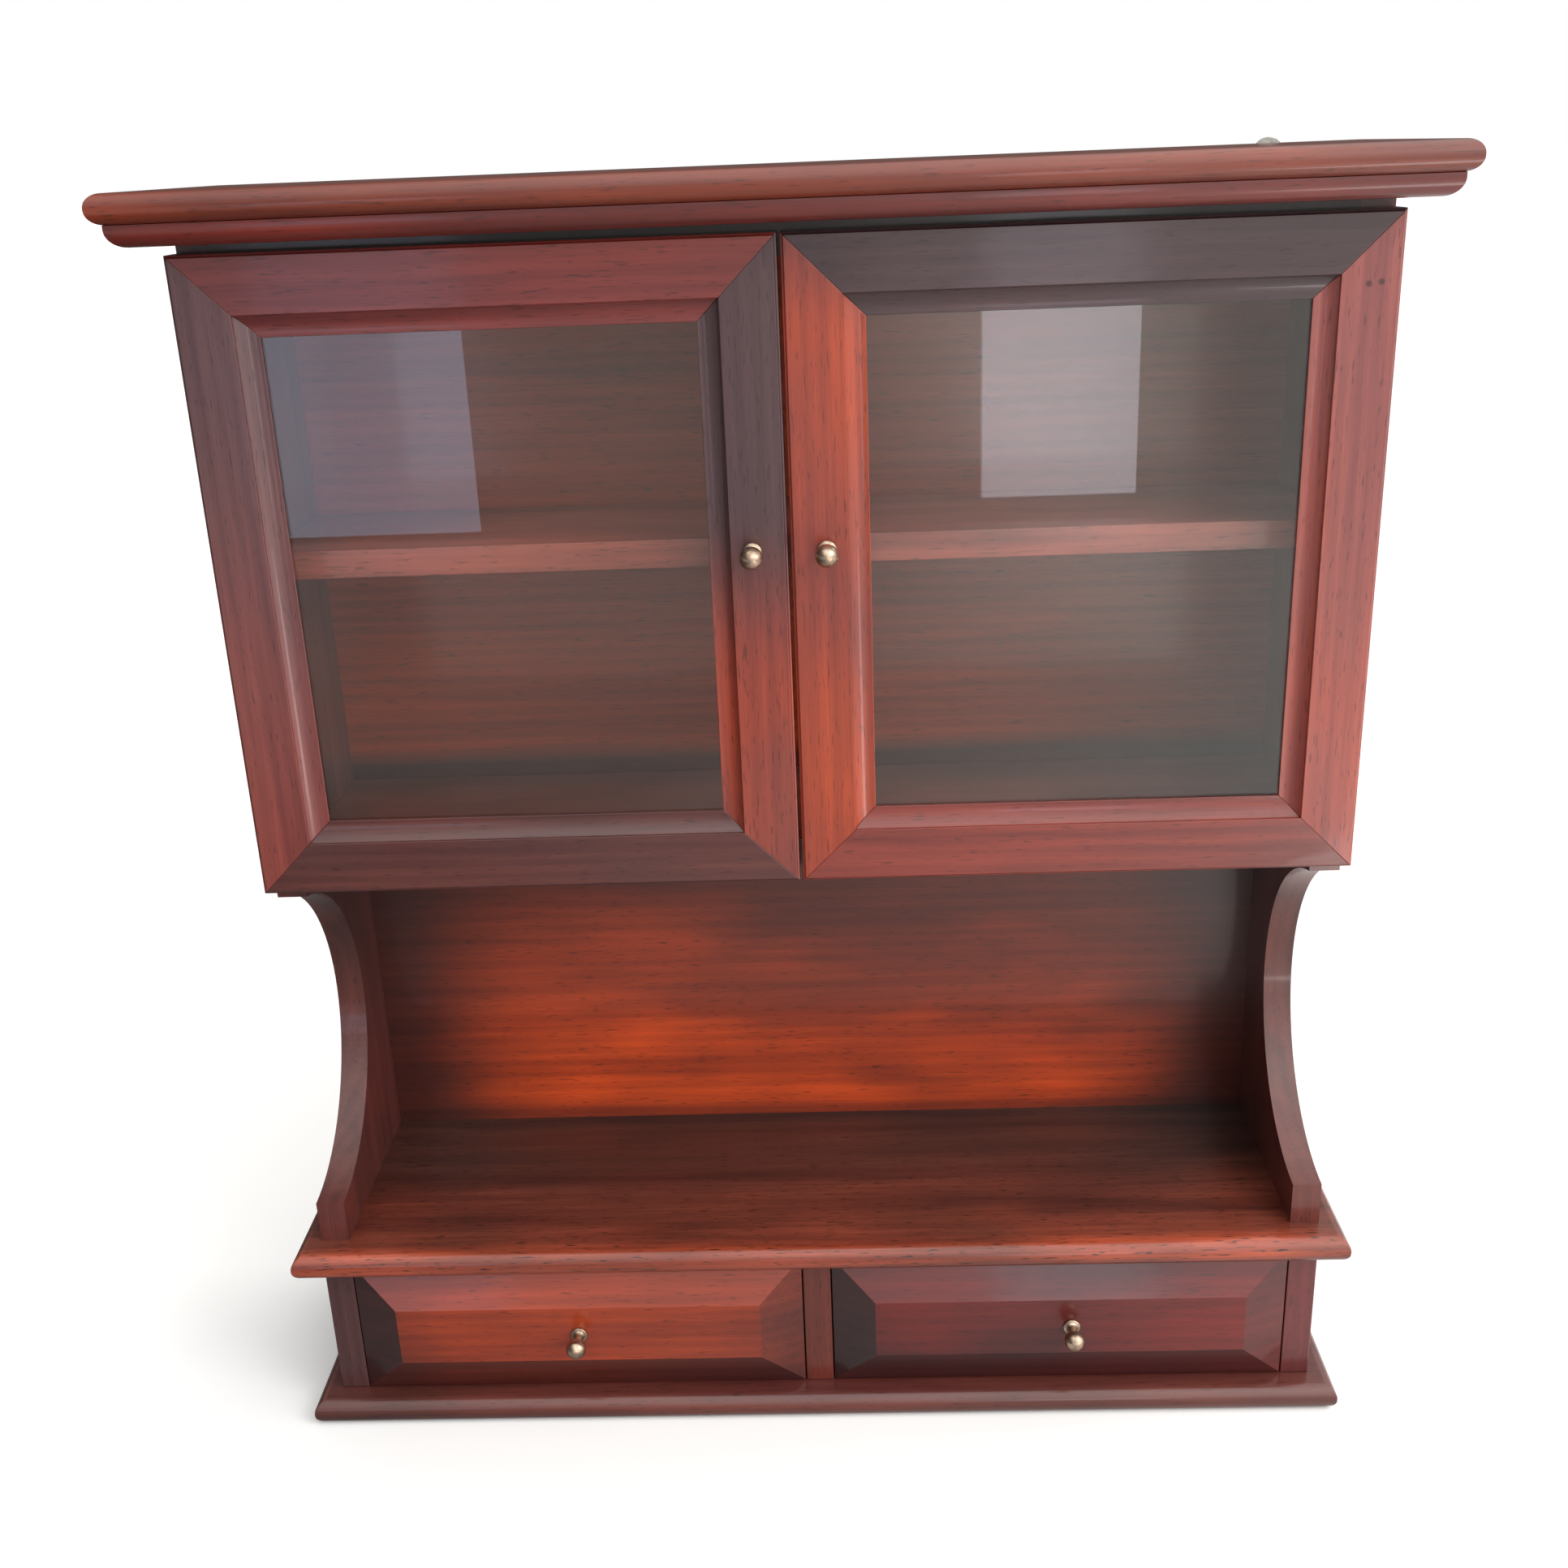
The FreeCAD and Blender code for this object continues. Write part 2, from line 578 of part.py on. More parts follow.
frame_leaves = []
frame_screws = {"left": [], "right": []}
door_leaves = {"left": [], "right": []}
door_screws = {"left": [], "right": []}
hinge_pins = []
for side_name, side in SIDES.items():
    screw_x = half_width - s.hinge_screw_inset
    screw_x = screw_x if side == RIGHT else -screw_x
    for level_name, level in HINGE_LEVELS.items():
        name = f"{side_name}_{level_name}"
        low, high = level - s.hinge_high / 2, level + s.hinge_high / 2
        middle = (level - s.middle_knuckle / 2, level + s.middle_knuckle / 2)
        ends = [(low, middle[0] - s.knuckle_gap), (middle[1] + s.knuckle_gap, high)]
        frame_leaf = knuckled_leaf(f"frame_leaf_{name}", side,
                                   (frame_face - s.leaf_thick, frame_face), ends, level,
                                   s.pin_round)
        door_leaf = knuckled_leaf(f"door_leaf_{name}", side,
                                  (door_back, door_back + s.leaf_thick), [middle], level,
                                  s.pin_round + s.pin_play)
        in_frame, in_door = [], []
        for number, spread in enumerate((-s.hinge_screw_spread / 2, s.hinge_screw_spread / 2)):
            for screws, owner, towards, face in (
                    (in_frame, "frame", "+y", frame_face - s.leaf_thick),
                    (in_door, "door", "-y", door_back + s.leaf_thick)):
                screws.append(countersunk(
                    f"{owner}_screw_{name}_{number}", s.hinge_screw_head, s.hinge_screw_round,
                    s.leaf_thick, s.hinge_screw_long, towards, screw_x, face, level + spread))
        frame_leaves.append(less(f"frame_leaf_{name}_drilled", frame_leaf, *in_frame))
        door_leaves[side_name].append(less(f"door_leaf_{name}_drilled", door_leaf, *in_door))
        frame_screws[side_name] += in_frame
        door_screws[side_name] += in_door
        centre = pin_x if side == RIGHT else -pin_x
        stem = rod(f"pin_{name}_stem", s.pin_round, s.hinge_high, "+z", centre, pin_y, low)
        head = rod(f"pin_{name}_head", s.knuckle_round, s.pin_head, "+z", centre, pin_y, high)
        hinge_pins.append(joined(f"pin_{name}", stem, head))
keep("hinge_frame_leaves", group("frame_leaf_set", frame_leaves))
keep("hinge_pins", group("pin_set", hinge_pins))
keep("hinge_frame_screws", group("frame_screw_set", frame_screws["left"] + frame_screws["right"]))

# ---------------------------------------------------------------- side panels and shelf pegs

pegs = []
for side_name, side in SIDES.items():
    own_pegs = []
    peg_span = mirrored(side, inner_half - s.peg_out, inner_half + s.peg_deep)
    for end_name, peg_y in (("front", shelf_front + s.peg_margin), ("back", shelf_back - s.peg_margin)):
        own_pegs.append(rod(f"peg_{side_name}_{end_name}", s.peg_round, peg_span[1] - peg_span[0],
                            "+x", peg_span[0], peg_y, shelf_low - s.peg_round))
    pegs += own_pegs
    thickness = mirrored(side, inner_half, half_width)
    outline = [(frame_face, cabinet_top), (back_face, cabinet_top), (back_face, counter_top),
               (toe_face, counter_top), (toe_face, counter_top + s.toe_high),
               Bow(-s.scoop_deep), (frame_face, cabinet_low - s.scoop_drop)]
    blank, _ = padded_body(f"side_{side_name}", "x", [outline], s.board_thick)
    place(blank, x=thickness[0])
    keep(f"side_panel_{side_name}",
         less(f"side_{side_name}_drilled", blank, *own_pegs, *frame_screws[side_name]))
keep("shelf_pegs", group("peg_set", pegs))

# ---------------------------------------------------------------- magnetic catches

catch_x = (s.catch_inset - s.catch_wide / 2, s.catch_inset + s.catch_wide / 2)
catch_front = door_back + s.keeper_thick + s.catch_play
ceiling_low = cabinet_top - s.board_thick
keep("magnet_catches", group("catch_set", [
    board(f"catch_{side_name}", mirrored(side, *catch_x), (catch_front, catch_front + s.catch_deep),
          (ceiling_low - s.catch_high, ceiling_low)) for side_name, side in SIDES.items()]))

# ---------------------------------------------------------------- knobs


def knob(name, x, y, z, screw):
    """A brass ball knob on a coved foot that points to the front, bored for its screw."""
    rose_round = s.neck_round + s.rose_cove
    equator = s.knob_high - s.ball_round
    under_ball = (s.ball_round * s.ball_round - s.neck_round * s.neck_round).root()
    overhang = s.ball_round - s.neck_round
    half_chord_squared = (overhang * overhang + under_ball * under_ball) / 4
    lower_rise = s.ball_round - (s.ball_round * s.ball_round - half_chord_squared).root()
    outline = [(ZERO, ZERO), (rose_round, ZERO), (rose_round, s.rose_high),
               quarter(s.rose_cove), (s.neck_round, s.rose_high + s.rose_cove),
               (s.neck_round, equator - under_ball), Bow(-lower_rise), (s.ball_round, equator),
               quarter(-s.ball_round), (ZERO, s.knob_high)]
    body = turned_body(f"{name}_turned", outline)
    place(body, x, y, z, turn=FreeCAD.Rotation(FreeCAD.Vector(0, 0, 1), 180))
    return less(f"{name}_bored", body, screw)


def knob_screw(name, grip, x, back, z):
    """A round-headed screw from behind the wood, through it and into the knob."""
    stem = rod(f"{name}_stem", s.knob_screw_round, grip + s.knob_screw_bite, "-y", x, back, z)
    head = rod(f"{name}_head", s.knob_screw_head, s.knob_screw_head_high, "+y", x, back, z)
    return joined(name, stem, head)


# ---------------------------------------------------------------- doors


def mitred_frame(names, outline, wide, deep, corner, size):
    """Four strips mitred round a rectangle, moulded to an outline of (depth, width)."""
    (left, front, low), (across, up) = corner, size
    sides = [(across, 0, left, low), (up, -90, left + across, low),
             (across, 180, left + across, low + up), (up, 90, left, low + up)]
    strips = []
    for name, (length, angle, x, z) in zip(names, sides):
        strip = prism(f"{name}_strip", "x", outline, ZERO, length)
        plan = prism(f"{name}_plan", "y", [(ZERO, ZERO), (length, ZERO), (length - wide, wide),
                                           (wide, wide)], ZERO, deep)
        piece = shared(f"{name}_mitred", strip, plan)
        place(piece, x, front, z, turn=FreeCAD.Rotation(FreeCAD.Vector(0, 1, 0), angle))
        strips.append(piece)
    return strips


FRAME_OUTLINE = [(s.door_thick, ZERO), (s.door_thick, rebate_edge), (s.lip_deep, rebate_edge),
                 (s.lip_deep, s.frame_wide), (s.lip_deep - s.lip_edge, s.frame_wide),
                 Bow(-s.lip_bow), (s.quirk_deep, s.frame_flat), (ZERO, s.frame_flat),
                 (ZERO, s.edge_ease), quarter(-s.edge_ease), (s.edge_ease, ZERO)]
bead_deep = s.door_thick - s.lip_deep - s.glass_thick - s.bead_gap
BEAD_OUTLINE = [(ZERO, ZERO), (bead_deep, ZERO), (bead_deep, s.bead_wide - s.bead_round),
                quarter(-s.bead_round), (bead_deep - s.bead_round, s.bead_wide),
                (ZERO, s.bead_wide)]

for side_name, side in SIDES.items():
    door = f"door_{side_name}"
    outer_first = side == RIGHT
    span = mirrored(side, door_inner, half_width)
    names = [f"{door}_bottom_rail", f"{door}_outer_stile" if outer_first else f"{door}_inner_stile",
             f"{door}_top_rail", f"{door}_inner_stile" if outer_first else f"{door}_outer_stile"]
    strips = dict(zip(names, mitred_frame(names, FRAME_OUTLINE, s.frame_wide, s.door_thick,
                                          (span[0], door_face, cabinet_low),
                                          (door_wide, door_high))))
    knob_x = s.door_knob_inset if side == RIGHT else -s.door_knob_inset
    knob_z = cabinet_low + s.door_knob_rise
    screw = knob_screw(f"{door}_screw", s.door_thick, knob_x, door_back, knob_z)
    for name, strip in strips.items():
        if name.endswith("outer_stile"):
            strip = less(f"{name}_drilled", strip, *door_screws[side_name])
        if name.endswith("inner_stile"):
            strip = less(f"{name}_drilled", strip, screw)
        keep(name, strip)
    keep(f"{door}_knob", knob(f"{door}_ball", knob_x, door_face, knob_z, screw))
    keep(f"{door}_knob_screw", screw)

    glass_inset = rebate_edge + s.glass_gap
    glass_back = glass_front + s.glass_thick
    keep(f"{door}_glass", board(f"{door}_pane", (span[0] + glass_inset, span[1] - glass_inset),
                                (glass_front, glass_back),
                                (cabinet_low + glass_inset, door_top - glass_inset)))
    beads = mitred_frame([f"{door}_bead_{edge}" for edge in ("low", "right", "high", "left")],
                         BEAD_OUTLINE, s.bead_wide, bead_deep,
                         (span[0] + rebate_edge, glass_back, cabinet_low + rebate_edge),
                         (door_wide - rebate_edge * 2, door_high - rebate_edge * 2))
    keep(f"{door}_glazing_beads", group(f"{door}_bead_set", beads))

    keep(f"{door}_hinge_leaves", group(f"{door}_leaf_set", door_leaves[side_name]))
    keep(f"{door}_hinge_screws", group(f"{door}_screw_set", door_screws[side_name]))
    keeper_x = (s.catch_inset - s.keeper_wide / 2, s.catch_inset + s.keeper_wide / 2)
    keeper_low = ceiling_low - (s.catch_high + s.keeper_high) / 2
    keep(f"{door}_strike_plate",
         board(f"{door}_keeper", mirrored(side, *keeper_x), (door_back, door_back + s.keeper_thick),
               (keeper_low, keeper_low + s.keeper_high)))

# ---------------------------------------------------------------- drawers

front_back = door_face + s.front_edge_thick
front_low, front_high = base_top + s.drawer_play, counter_low - s.drawer_play
near, far = s.divider_thick / 2 + s.drawer_play, inner_half - s.drawer_play
box_low = base_top + s.drawer_lift
box_high = box_low + s.drawer_side_high
box_back = panel_face - s.drawer_back_gap
bottom_low = box_low + s.bottom_rise
bottom_high = bottom_low + s.bottom_thick
for side_name, side in SIDES.items():
    drawer = f"drawer_{side_name}"
    span = mirrored(side, near, far)
    wide, high = span[1] - span[0], front_high - front_low
    edges = board(f"{drawer}_edges", span, (door_face, front_back), (front_low, front_high))
    field = doc.addObject("Part::Wedge", f"{drawer}_field")
    bind(field, Xmin=s.bevel_wide, Xmax=wide - s.bevel_wide, Ymin=ZERO, Ymax=s.field_rise,
         Zmin=s.bevel_wide, Zmax=high - s.bevel_wide, X2min=ZERO, X2max=wide, Z2min=ZERO,
         Z2max=high)
    place(field, span[0], door_face - s.field_rise, front_low)
    blank = joined(f"{drawer}_fielded", edges, field)

    outer = (span[0] + s.drawer_box_inset, span[1] - s.drawer_box_inset)
    inner = (outer[0] + s.drawer_side_thick, outer[1] - s.drawer_side_thick)
    bottom = board(f"{drawer}_bottom_board", (inner[0] - s.groove_deep, inner[1] + s.groove_deep),
                   (front_back - s.groove_deep, box_back), (bottom_low, bottom_high))
    knob_x = (span[0] + span[1]) / 2
    if side == RIGHT:
        knob_x = knob_x + s.right_knob_shift
    knob_z = (front_low + front_high) / 2
    screw = knob_screw(f"{drawer}_screw", s.front_edge_thick + s.field_rise, knob_x, front_back,
                       knob_z)
    keep(f"{drawer}_front", less(f"{drawer}_front_cut", blank, bottom, screw))
    keep(f"{drawer}_knob", knob(f"{drawer}_ball", knob_x, door_face - s.field_rise, knob_z, screw))
    keep(f"{drawer}_knob_screw", screw)
    keep(f"{drawer}_bottom", bottom)
    for end_name, end in (("left", (outer[0], inner[0])), ("right", (inner[1], outer[1]))):
        side_board = board(f"{drawer}_{end_name}_blank", end, (front_back, box_back),
                           (box_low, box_high))
        keep(f"{drawer}_side_{end_name}", less(f"{drawer}_{end_name}_grooved", side_board, bottom))
    keep(f"{drawer}_back", board(f"{drawer}_back_board", inner,
                                 (box_back - s.drawer_side_thick, box_back),
                                 (bottom_high, box_high - s.drawer_back_drop)))

# ---------------------------------------------------------------- check and export

doc.recompute()
for item in doc.Objects:
    if "Invalid" in item.State or "Error" in item.State:
        raise RuntimeError(f"{item.Label}: {item.State}")
for label, piece in subparts.items():
    if piece.Shape.isNull() or not piece.Shape.isValid():
        raise RuntimeError(f"{label} has no valid shape")

os.makedirs("parts", exist_ok=True)
for label, piece in subparts.items():
    piece.Shape.exportStep(f"parts/{label}.step")
    print(f"{label}: {len(piece.Shape.Solids)} solid(s), {piece.Shape.Volume / 1000:.2f} cm3")
print(f"{len(subparts)} sub-parts")
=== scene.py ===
# %% [markdown]
# # A small mahogany display bookcase
#
# The real object is a wall or counter cabinet about half a metre wide: two glazed doors over an
# open niche, two drawers with raised fields, and a moulded cornice. It is made of red-brown
# stained mahogany under a gloss lacquer, with small brass ball knobs. This lesson dresses a
# finished CAD model of it, which gives every piece its place and its size.

# %% Load the frame
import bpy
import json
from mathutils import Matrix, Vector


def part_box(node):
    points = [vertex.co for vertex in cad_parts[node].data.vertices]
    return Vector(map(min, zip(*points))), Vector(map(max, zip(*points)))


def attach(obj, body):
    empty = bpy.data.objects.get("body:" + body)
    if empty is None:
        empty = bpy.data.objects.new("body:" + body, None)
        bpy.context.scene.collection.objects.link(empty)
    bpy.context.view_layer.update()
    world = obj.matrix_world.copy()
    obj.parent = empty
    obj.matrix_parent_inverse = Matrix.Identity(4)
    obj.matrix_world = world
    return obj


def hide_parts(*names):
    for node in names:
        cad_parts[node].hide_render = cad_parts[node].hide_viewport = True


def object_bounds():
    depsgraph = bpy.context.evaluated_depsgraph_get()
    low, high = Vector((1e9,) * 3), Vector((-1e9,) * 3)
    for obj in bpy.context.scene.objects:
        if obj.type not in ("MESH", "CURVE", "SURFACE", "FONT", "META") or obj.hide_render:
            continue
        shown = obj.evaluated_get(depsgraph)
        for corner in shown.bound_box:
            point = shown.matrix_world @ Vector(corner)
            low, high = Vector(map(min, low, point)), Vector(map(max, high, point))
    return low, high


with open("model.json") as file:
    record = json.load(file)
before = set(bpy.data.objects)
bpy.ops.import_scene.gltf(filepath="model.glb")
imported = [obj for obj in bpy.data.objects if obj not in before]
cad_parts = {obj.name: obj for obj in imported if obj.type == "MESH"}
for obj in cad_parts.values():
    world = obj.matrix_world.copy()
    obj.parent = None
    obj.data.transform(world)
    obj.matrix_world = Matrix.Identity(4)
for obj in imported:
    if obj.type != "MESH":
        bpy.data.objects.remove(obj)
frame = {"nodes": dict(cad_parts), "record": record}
cad_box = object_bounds()
print("CAD box, m:", [round(v, 4) for corner in cad_box for v in corner])

# %% Modules and units
import itertools
import json
import math

import bmesh
import bpy
from mathutils import Matrix, Vector

MM = 0.001
BODY_OF = {node: body for body, nodes in frame["record"]["behaviour"]["bodies"].items()
           for node in nodes}

# %% [markdown]
# ## Camera
#
# The eye stands close to the case and a little above its cornice, and looks down at it. A short
# distance makes the top look wider than the base. The camera could be aimed with a Track To
# constraint, but a matrix built from three angles also holds the small tilt of a hand.

# %% Camera
EYE = Vector((0.0198, -0.7649, 0.6113))
HEADING, DIP, TILT = (math.radians(a) for a in (-2.11, 20.64, -2.33))
LENS_MM, FILM_MM = 38.81, 36.0

ahead = Vector((math.sin(HEADING) * math.cos(DIP), math.cos(HEADING) * math.cos(DIP),
                -math.sin(DIP)))
level_right = Vector((math.cos(HEADING), -math.sin(HEADING), 0))
level_up = level_right.cross(ahead)
right = math.cos(TILT) * level_right + math.sin(TILT) * level_up
up = math.cos(TILT) * level_up - math.sin(TILT) * level_right

camera_data = bpy.data.cameras.new("camera")
camera_data.lens = LENS_MM
camera_data.sensor_width = FILM_MM
camera_data.clip_start = 0.02
camera = bpy.data.objects.new("camera", camera_data)
camera.matrix_world = Matrix((right, up, -ahead)).transposed().to_4x4()
camera.matrix_world.translation = EYE
bpy.context.scene.collection.objects.link(camera)
bpy.context.scene.camera = camera
bpy.context.scene.view_settings.view_transform = "Standard"
print("camera looks", [round(v, 3) for v in ahead])

# %% [markdown]
# ## Colours and nodes
#
# Colours are picked as screen (sRGB) hex values, and shaders count in linear light, so one
# function turns one into the other. Another adds any node to any tree with its settings and its
# inputs; shader and geometry trees are both built with it. The rest are short names for the
# nodes that come up again and again: a sum, a range, a mix of two colours and a noise.


# %% Colours
def linear(hex_colour):
    """An sRGB hex colour as linear red, green, blue and alpha."""
    parts = [int(hex_colour[i:i + 2], 16) / 255 for i in (1, 3, 5)]
    return tuple(p / 12.92 if p <= 0.04045 else ((p + 0.055) / 1.055) ** 2.4
                 for p in parts) + (1.0,)


print("a mid grey in linear light:", [round(v, 3) for v in linear("#808080")])


# %% Nodes
def add_node(tree, kind, inputs=None, **settings):
    """Adds a node, sets its options and fills its inputs with values or other nodes' outputs."""
    made = tree.nodes.new(kind)
    for name, value in settings.items():
        setattr(made, name, value)
    for name, value in (inputs or {}).items():
        if isinstance(value, bpy.types.NodeSocket):
            tree.links.new(value, made.inputs[name])
        else:
            made.inputs[name].default_value = value
    return made


def maths(tree, operation, *values):
    """One sum on numbers or other nodes' outputs."""
    return add_node(tree, "ShaderNodeMath", dict(enumerate(values)),
                    operation=operation).outputs[0]


def vector_maths(tree, operation, *values):
    """One sum on vectors, which gives a vector, a distance or a dot product."""
    made = add_node(tree, "ShaderNodeVectorMath", dict(enumerate(values)), operation=operation)
    return made.outputs["Value" if operation in ("DISTANCE", "DOT_PRODUCT") else "Vector"]


def remapped(tree, value, start, end, at_start=0.0, at_end=1.0, **settings):
    """A value carried from one range to another, and held at the ends."""
    return add_node(tree, "ShaderNodeMapRange",
                    {"Value": value, "From Min": start, "From Max": end, "To Min": at_start,
                     "To Max": at_end}, **settings).outputs["Result"]


def blended(tree, share, first, second, **settings):
    """The first colour at a share of 0 and the second at 1."""
    return add_node(tree, "ShaderNodeMix", {0: share, 6: first, 7: second}, data_type="RGBA",
                    **settings).outputs[2]


def noise(tree, vector, patch, detail=2.0, distortion=0.0):
    """Soft noise in patches of a real size."""
    return add_node(tree, "ShaderNodeTexNoise",
                    {"Vector": vector, "Scale": 1 / patch, "Detail": detail,
                     "Distortion": distortion}).outputs["Fac"]


def new_material(name):
    """A material, its tree and its Principled shader."""
    material = bpy.data.materials.new(name)
    material.use_nodes = True
    return material, material.node_tree, material.node_tree.nodes["Principled BSDF"]


print("node helpers ready")

# %% [markdown]
# ## Floor and light
#
# In a studio the case would stand on white paper under a big soft window. The floor is one wide
# sheet. The sky is a smooth dome of light, brighter to the upper right, with the paper's own
# white shown behind the case. White paper also throws light back up into the lacquer, which
# washes dark wood out, so studios lay card just out of view, dark on one side and pale on the
# other, which models the shape. Here one sheet does both. To the eye, straight or through a
# pane of glass, it is white paper. In the light that it throws back it is a card that goes from
# near black on the left to pale grey on the right, and is a little paler in front.


# %% What the eye sees
def looked_at(tree):
    """1 for rays that come from the eye, straight or through a pane, and 0 for all others."""
    path = add_node(tree, "ShaderNodeLightPath").outputs
    bounces = maths(tree, "ADD", path["Diffuse Depth"], path["Glossy Depth"])
    straight = maths(tree, "LESS_THAN", bounces, 0.5)
    through = maths(tree, "MULTIPLY", path["Is Transmission Ray"], straight)
    return maths(tree, "MAXIMUM", path["Is Camera Ray"], through)


print("the floor and the sky give", looked_at.__doc__)

# %% Floor
FLOOR_REACH = 40.0
PULP_PATCH = 1 / 3
CARD_DARK, CARD_PALE = "#4A4848", "#EAE8E6"
CARD_LEFT, CARD_RIGHT = -0.5, 0.45      # dark at the left of these places, pale at the right
CARD_NEAR, CARD_FRONT = -0.75, -1.05    # and paler again from the first place to the second
FRONT_SHARE = 0.42

floor_mesh = bpy.data.meshes.new("floor")
floor_mesh.from_pydata([(x * FLOOR_REACH, y * FLOOR_REACH, 0)
                        for x, y in ((-1, -1), (1, -1), (1, 1), (-1, 1))], [], [(0, 1, 2, 3)])
floor = bpy.data.objects.new("floor", floor_mesh)
bpy.context.scene.collection.objects.link(floor)

# matt white background paper: almost no shine, and a faint unevenness of its pulp
paper, tree, paper_shader = new_material("white background paper, matt")
paper_shader.inputs["Roughness"].default_value = 0.9
paper_shader.inputs["Specular IOR Level"].default_value = 0.1
place = add_node(tree, "ShaderNodeTexCoord").outputs["Object"]
tint = blended(tree, noise(tree, place, PULP_PATCH), linear("#F8F8F8"), linear("#FCFCFB"))
tree.links.new(tint, paper_shader.inputs["Base Color"])
across = add_node(tree, "ShaderNodeSeparateXYZ", {0: place}).outputs
pale = maths(tree, "MAXIMUM", remapped(tree, across["X"], CARD_LEFT, CARD_RIGHT),
             remapped(tree, across["Y"], CARD_NEAR, CARD_FRONT, 0.0, FRONT_SHARE))
card = add_node(tree, "ShaderNodeBsdfDiffuse",
                {"Color": blended(tree, pale, linear(CARD_DARK), linear(CARD_PALE))})
paper_or_card = add_node(tree, "ShaderNodeMixShader",
                         {0: looked_at(tree), 1: card.outputs[0], 2: paper_shader.outputs[0]})
tree.links.new(paper_or_card.outputs[0], tree.nodes["Material Output"].inputs["Surface"])
floor_mesh.materials.append(paper)
print("floor reaches", FLOOR_REACH, "m each way")

# %% Sky dome
DOME_DARK, DOME_BRIGHT = 0.1, 2.3
DOME_EDGE = -0.05           # how far from the brightest way the dome is at its darkest
BRIGHTEST_WAY = Vector((0.6, -0.35, 0.72)).normalized()

world = bpy.data.worlds.new("studio")
world.use_nodes = True
bpy.context.scene.world = world
sky = world.node_tree
sky.nodes.clear()
direction = add_node(sky, "ShaderNodeTexCoord").outputs["Generated"]
strength = remapped(sky, vector_maths(sky, "DOT_PRODUCT", direction, BRIGHTEST_WAY),
                    DOME_EDGE, 1.0, DOME_DARK, DOME_BRIGHT, interpolation_type="SMOOTHSTEP")
dome = add_node(sky, "ShaderNodeBackground", {"Color": linear("#FFFEFC"), "Strength": strength})
backdrop = add_node(sky, "ShaderNodeBackground", {"Color": linear("#FFFFFF")})
shown = add_node(sky, "ShaderNodeMixShader",
                 {0: looked_at(sky), 1: dome.outputs[0], 2: backdrop.outputs[0]})
add_node(sky, "ShaderNodeOutputWorld", {"Surface": shown.outputs[0]})
print("dome from", DOME_DARK, "to", DOME_BRIGHT)

# %% [markdown]
# ## Soft boxes
#
# Soft boxes add the shine: a large one at the upper right, and two tall, faint ones far in
# front that the door glass mirrors. A low strip lies on the floor at the right, turned up and
# out of sight, and lifts the edges and mouldings that face that way.


# %% Soft boxes
def soft_box(name, at, aim, size, watts, colour="#FFFFFF"):
    """A rectangular soft light at a point, aimed at another."""
    light = bpy.data.lights.new(name, "AREA")
    light.shape = "RECTANGLE"
    light.size, light.size_y = size
    light.energy = watts
    light.color = linear(colour)[:3]
    lamp = bpy.data.objects.new(name, light)
    lamp.location = at
    lamp.rotation_euler = (Vector(aim) - Vector(at)).to_track_quat("-Z", "Y").to_euler()
    bpy.context.scene.collection.objects.link(lamp)
    return lamp


middle = (cad_box[0] + cad_box[1]) / 2
soft_box("upper right box", (1.5, -1.1, 1.5), middle, (0.9, 0.9), 13)
soft_box("left window box", (-0.76, -2.2, 0.27), (-0.76, 0, 0.27), (0.34, 0.52), 0.8, "#CCDAFF")
soft_box("right window box", (0.4, -2.2, 0.3), (0.4, 0, 0.3), (0.26, 0.52), 0.95, "#F6F0FF")
strip_light = soft_box("floor strip", (0.9, -1.05, 0.004), (0.9, -1.05, 1), (0.2, 1.3), 4.4,
                       "#FFF2F0")
strip_light.rotation_euler = (math.pi, 0, math.radians(45))
strip_light.visible_camera = False
print("soft boxes aim at", [round(v, 3) for v in middle])

# %% [markdown]
# ## Stained mahogany
#
# Mahogany is straight to wavy grained, with broad soft ribbons, faint growth rings and short
# dark pores. A spirit stain turns it red-brown, unevenly, and gloss lacquer seals it. The
# wood's figure could come from an image, but here it is grown from nodes: rings round a
# pith that lies outside the board, ribbons and pores drawn out along the grain, and slow
# blotches of stain. Each board takes the same recipe with its own place in the log and its own
# tone, so that neighbours differ as real boards do. Many boards are also darker towards one end,
# side or face; in the niche and on the drawer bevels this darkening is painted shade. It goes by
# the place on the board or by the way that a face is turned. Filled pin holes are small dark
# dots in the colour.

# %% How a board grows
RING_GAP = 7.0 * MM         # one growth ring to the next
RIBBON = 13 * MM            # a ribbon of light or dark across the grain
FIBRE = 1.1 * MM            # fibres, drawn coarser than life so that they show
PORE = 0.9 * MM             # pores, also drawn a little coarse
BLOTCH = 70 * MM            # uneven stain
WAVE = 9 * MM               # the lacquer's own slow waves
WAVE_PERIOD = 0.3142        # a wave texture's band at a scale of 1
RING_SHARE = 0.3            # rings against ribbons in the figure
# how short each pattern is along the grain: the smaller, the longer drawn out
RINGS_ALONG, RIBBONS_ALONG, FIBRES_ALONG = 0.05, 0.07, 0.025
PORES_ALONG, BLOTCHES_ALONG, WAVES_ALONG = 0.11, 0.45, 0.4
GRAIN_TURN = {"x": (0, math.radians(90), 0), "y": (math.radians(90), 0, 0), "z": (0, 0, 0)}
board_numbers = itertools.count(1)


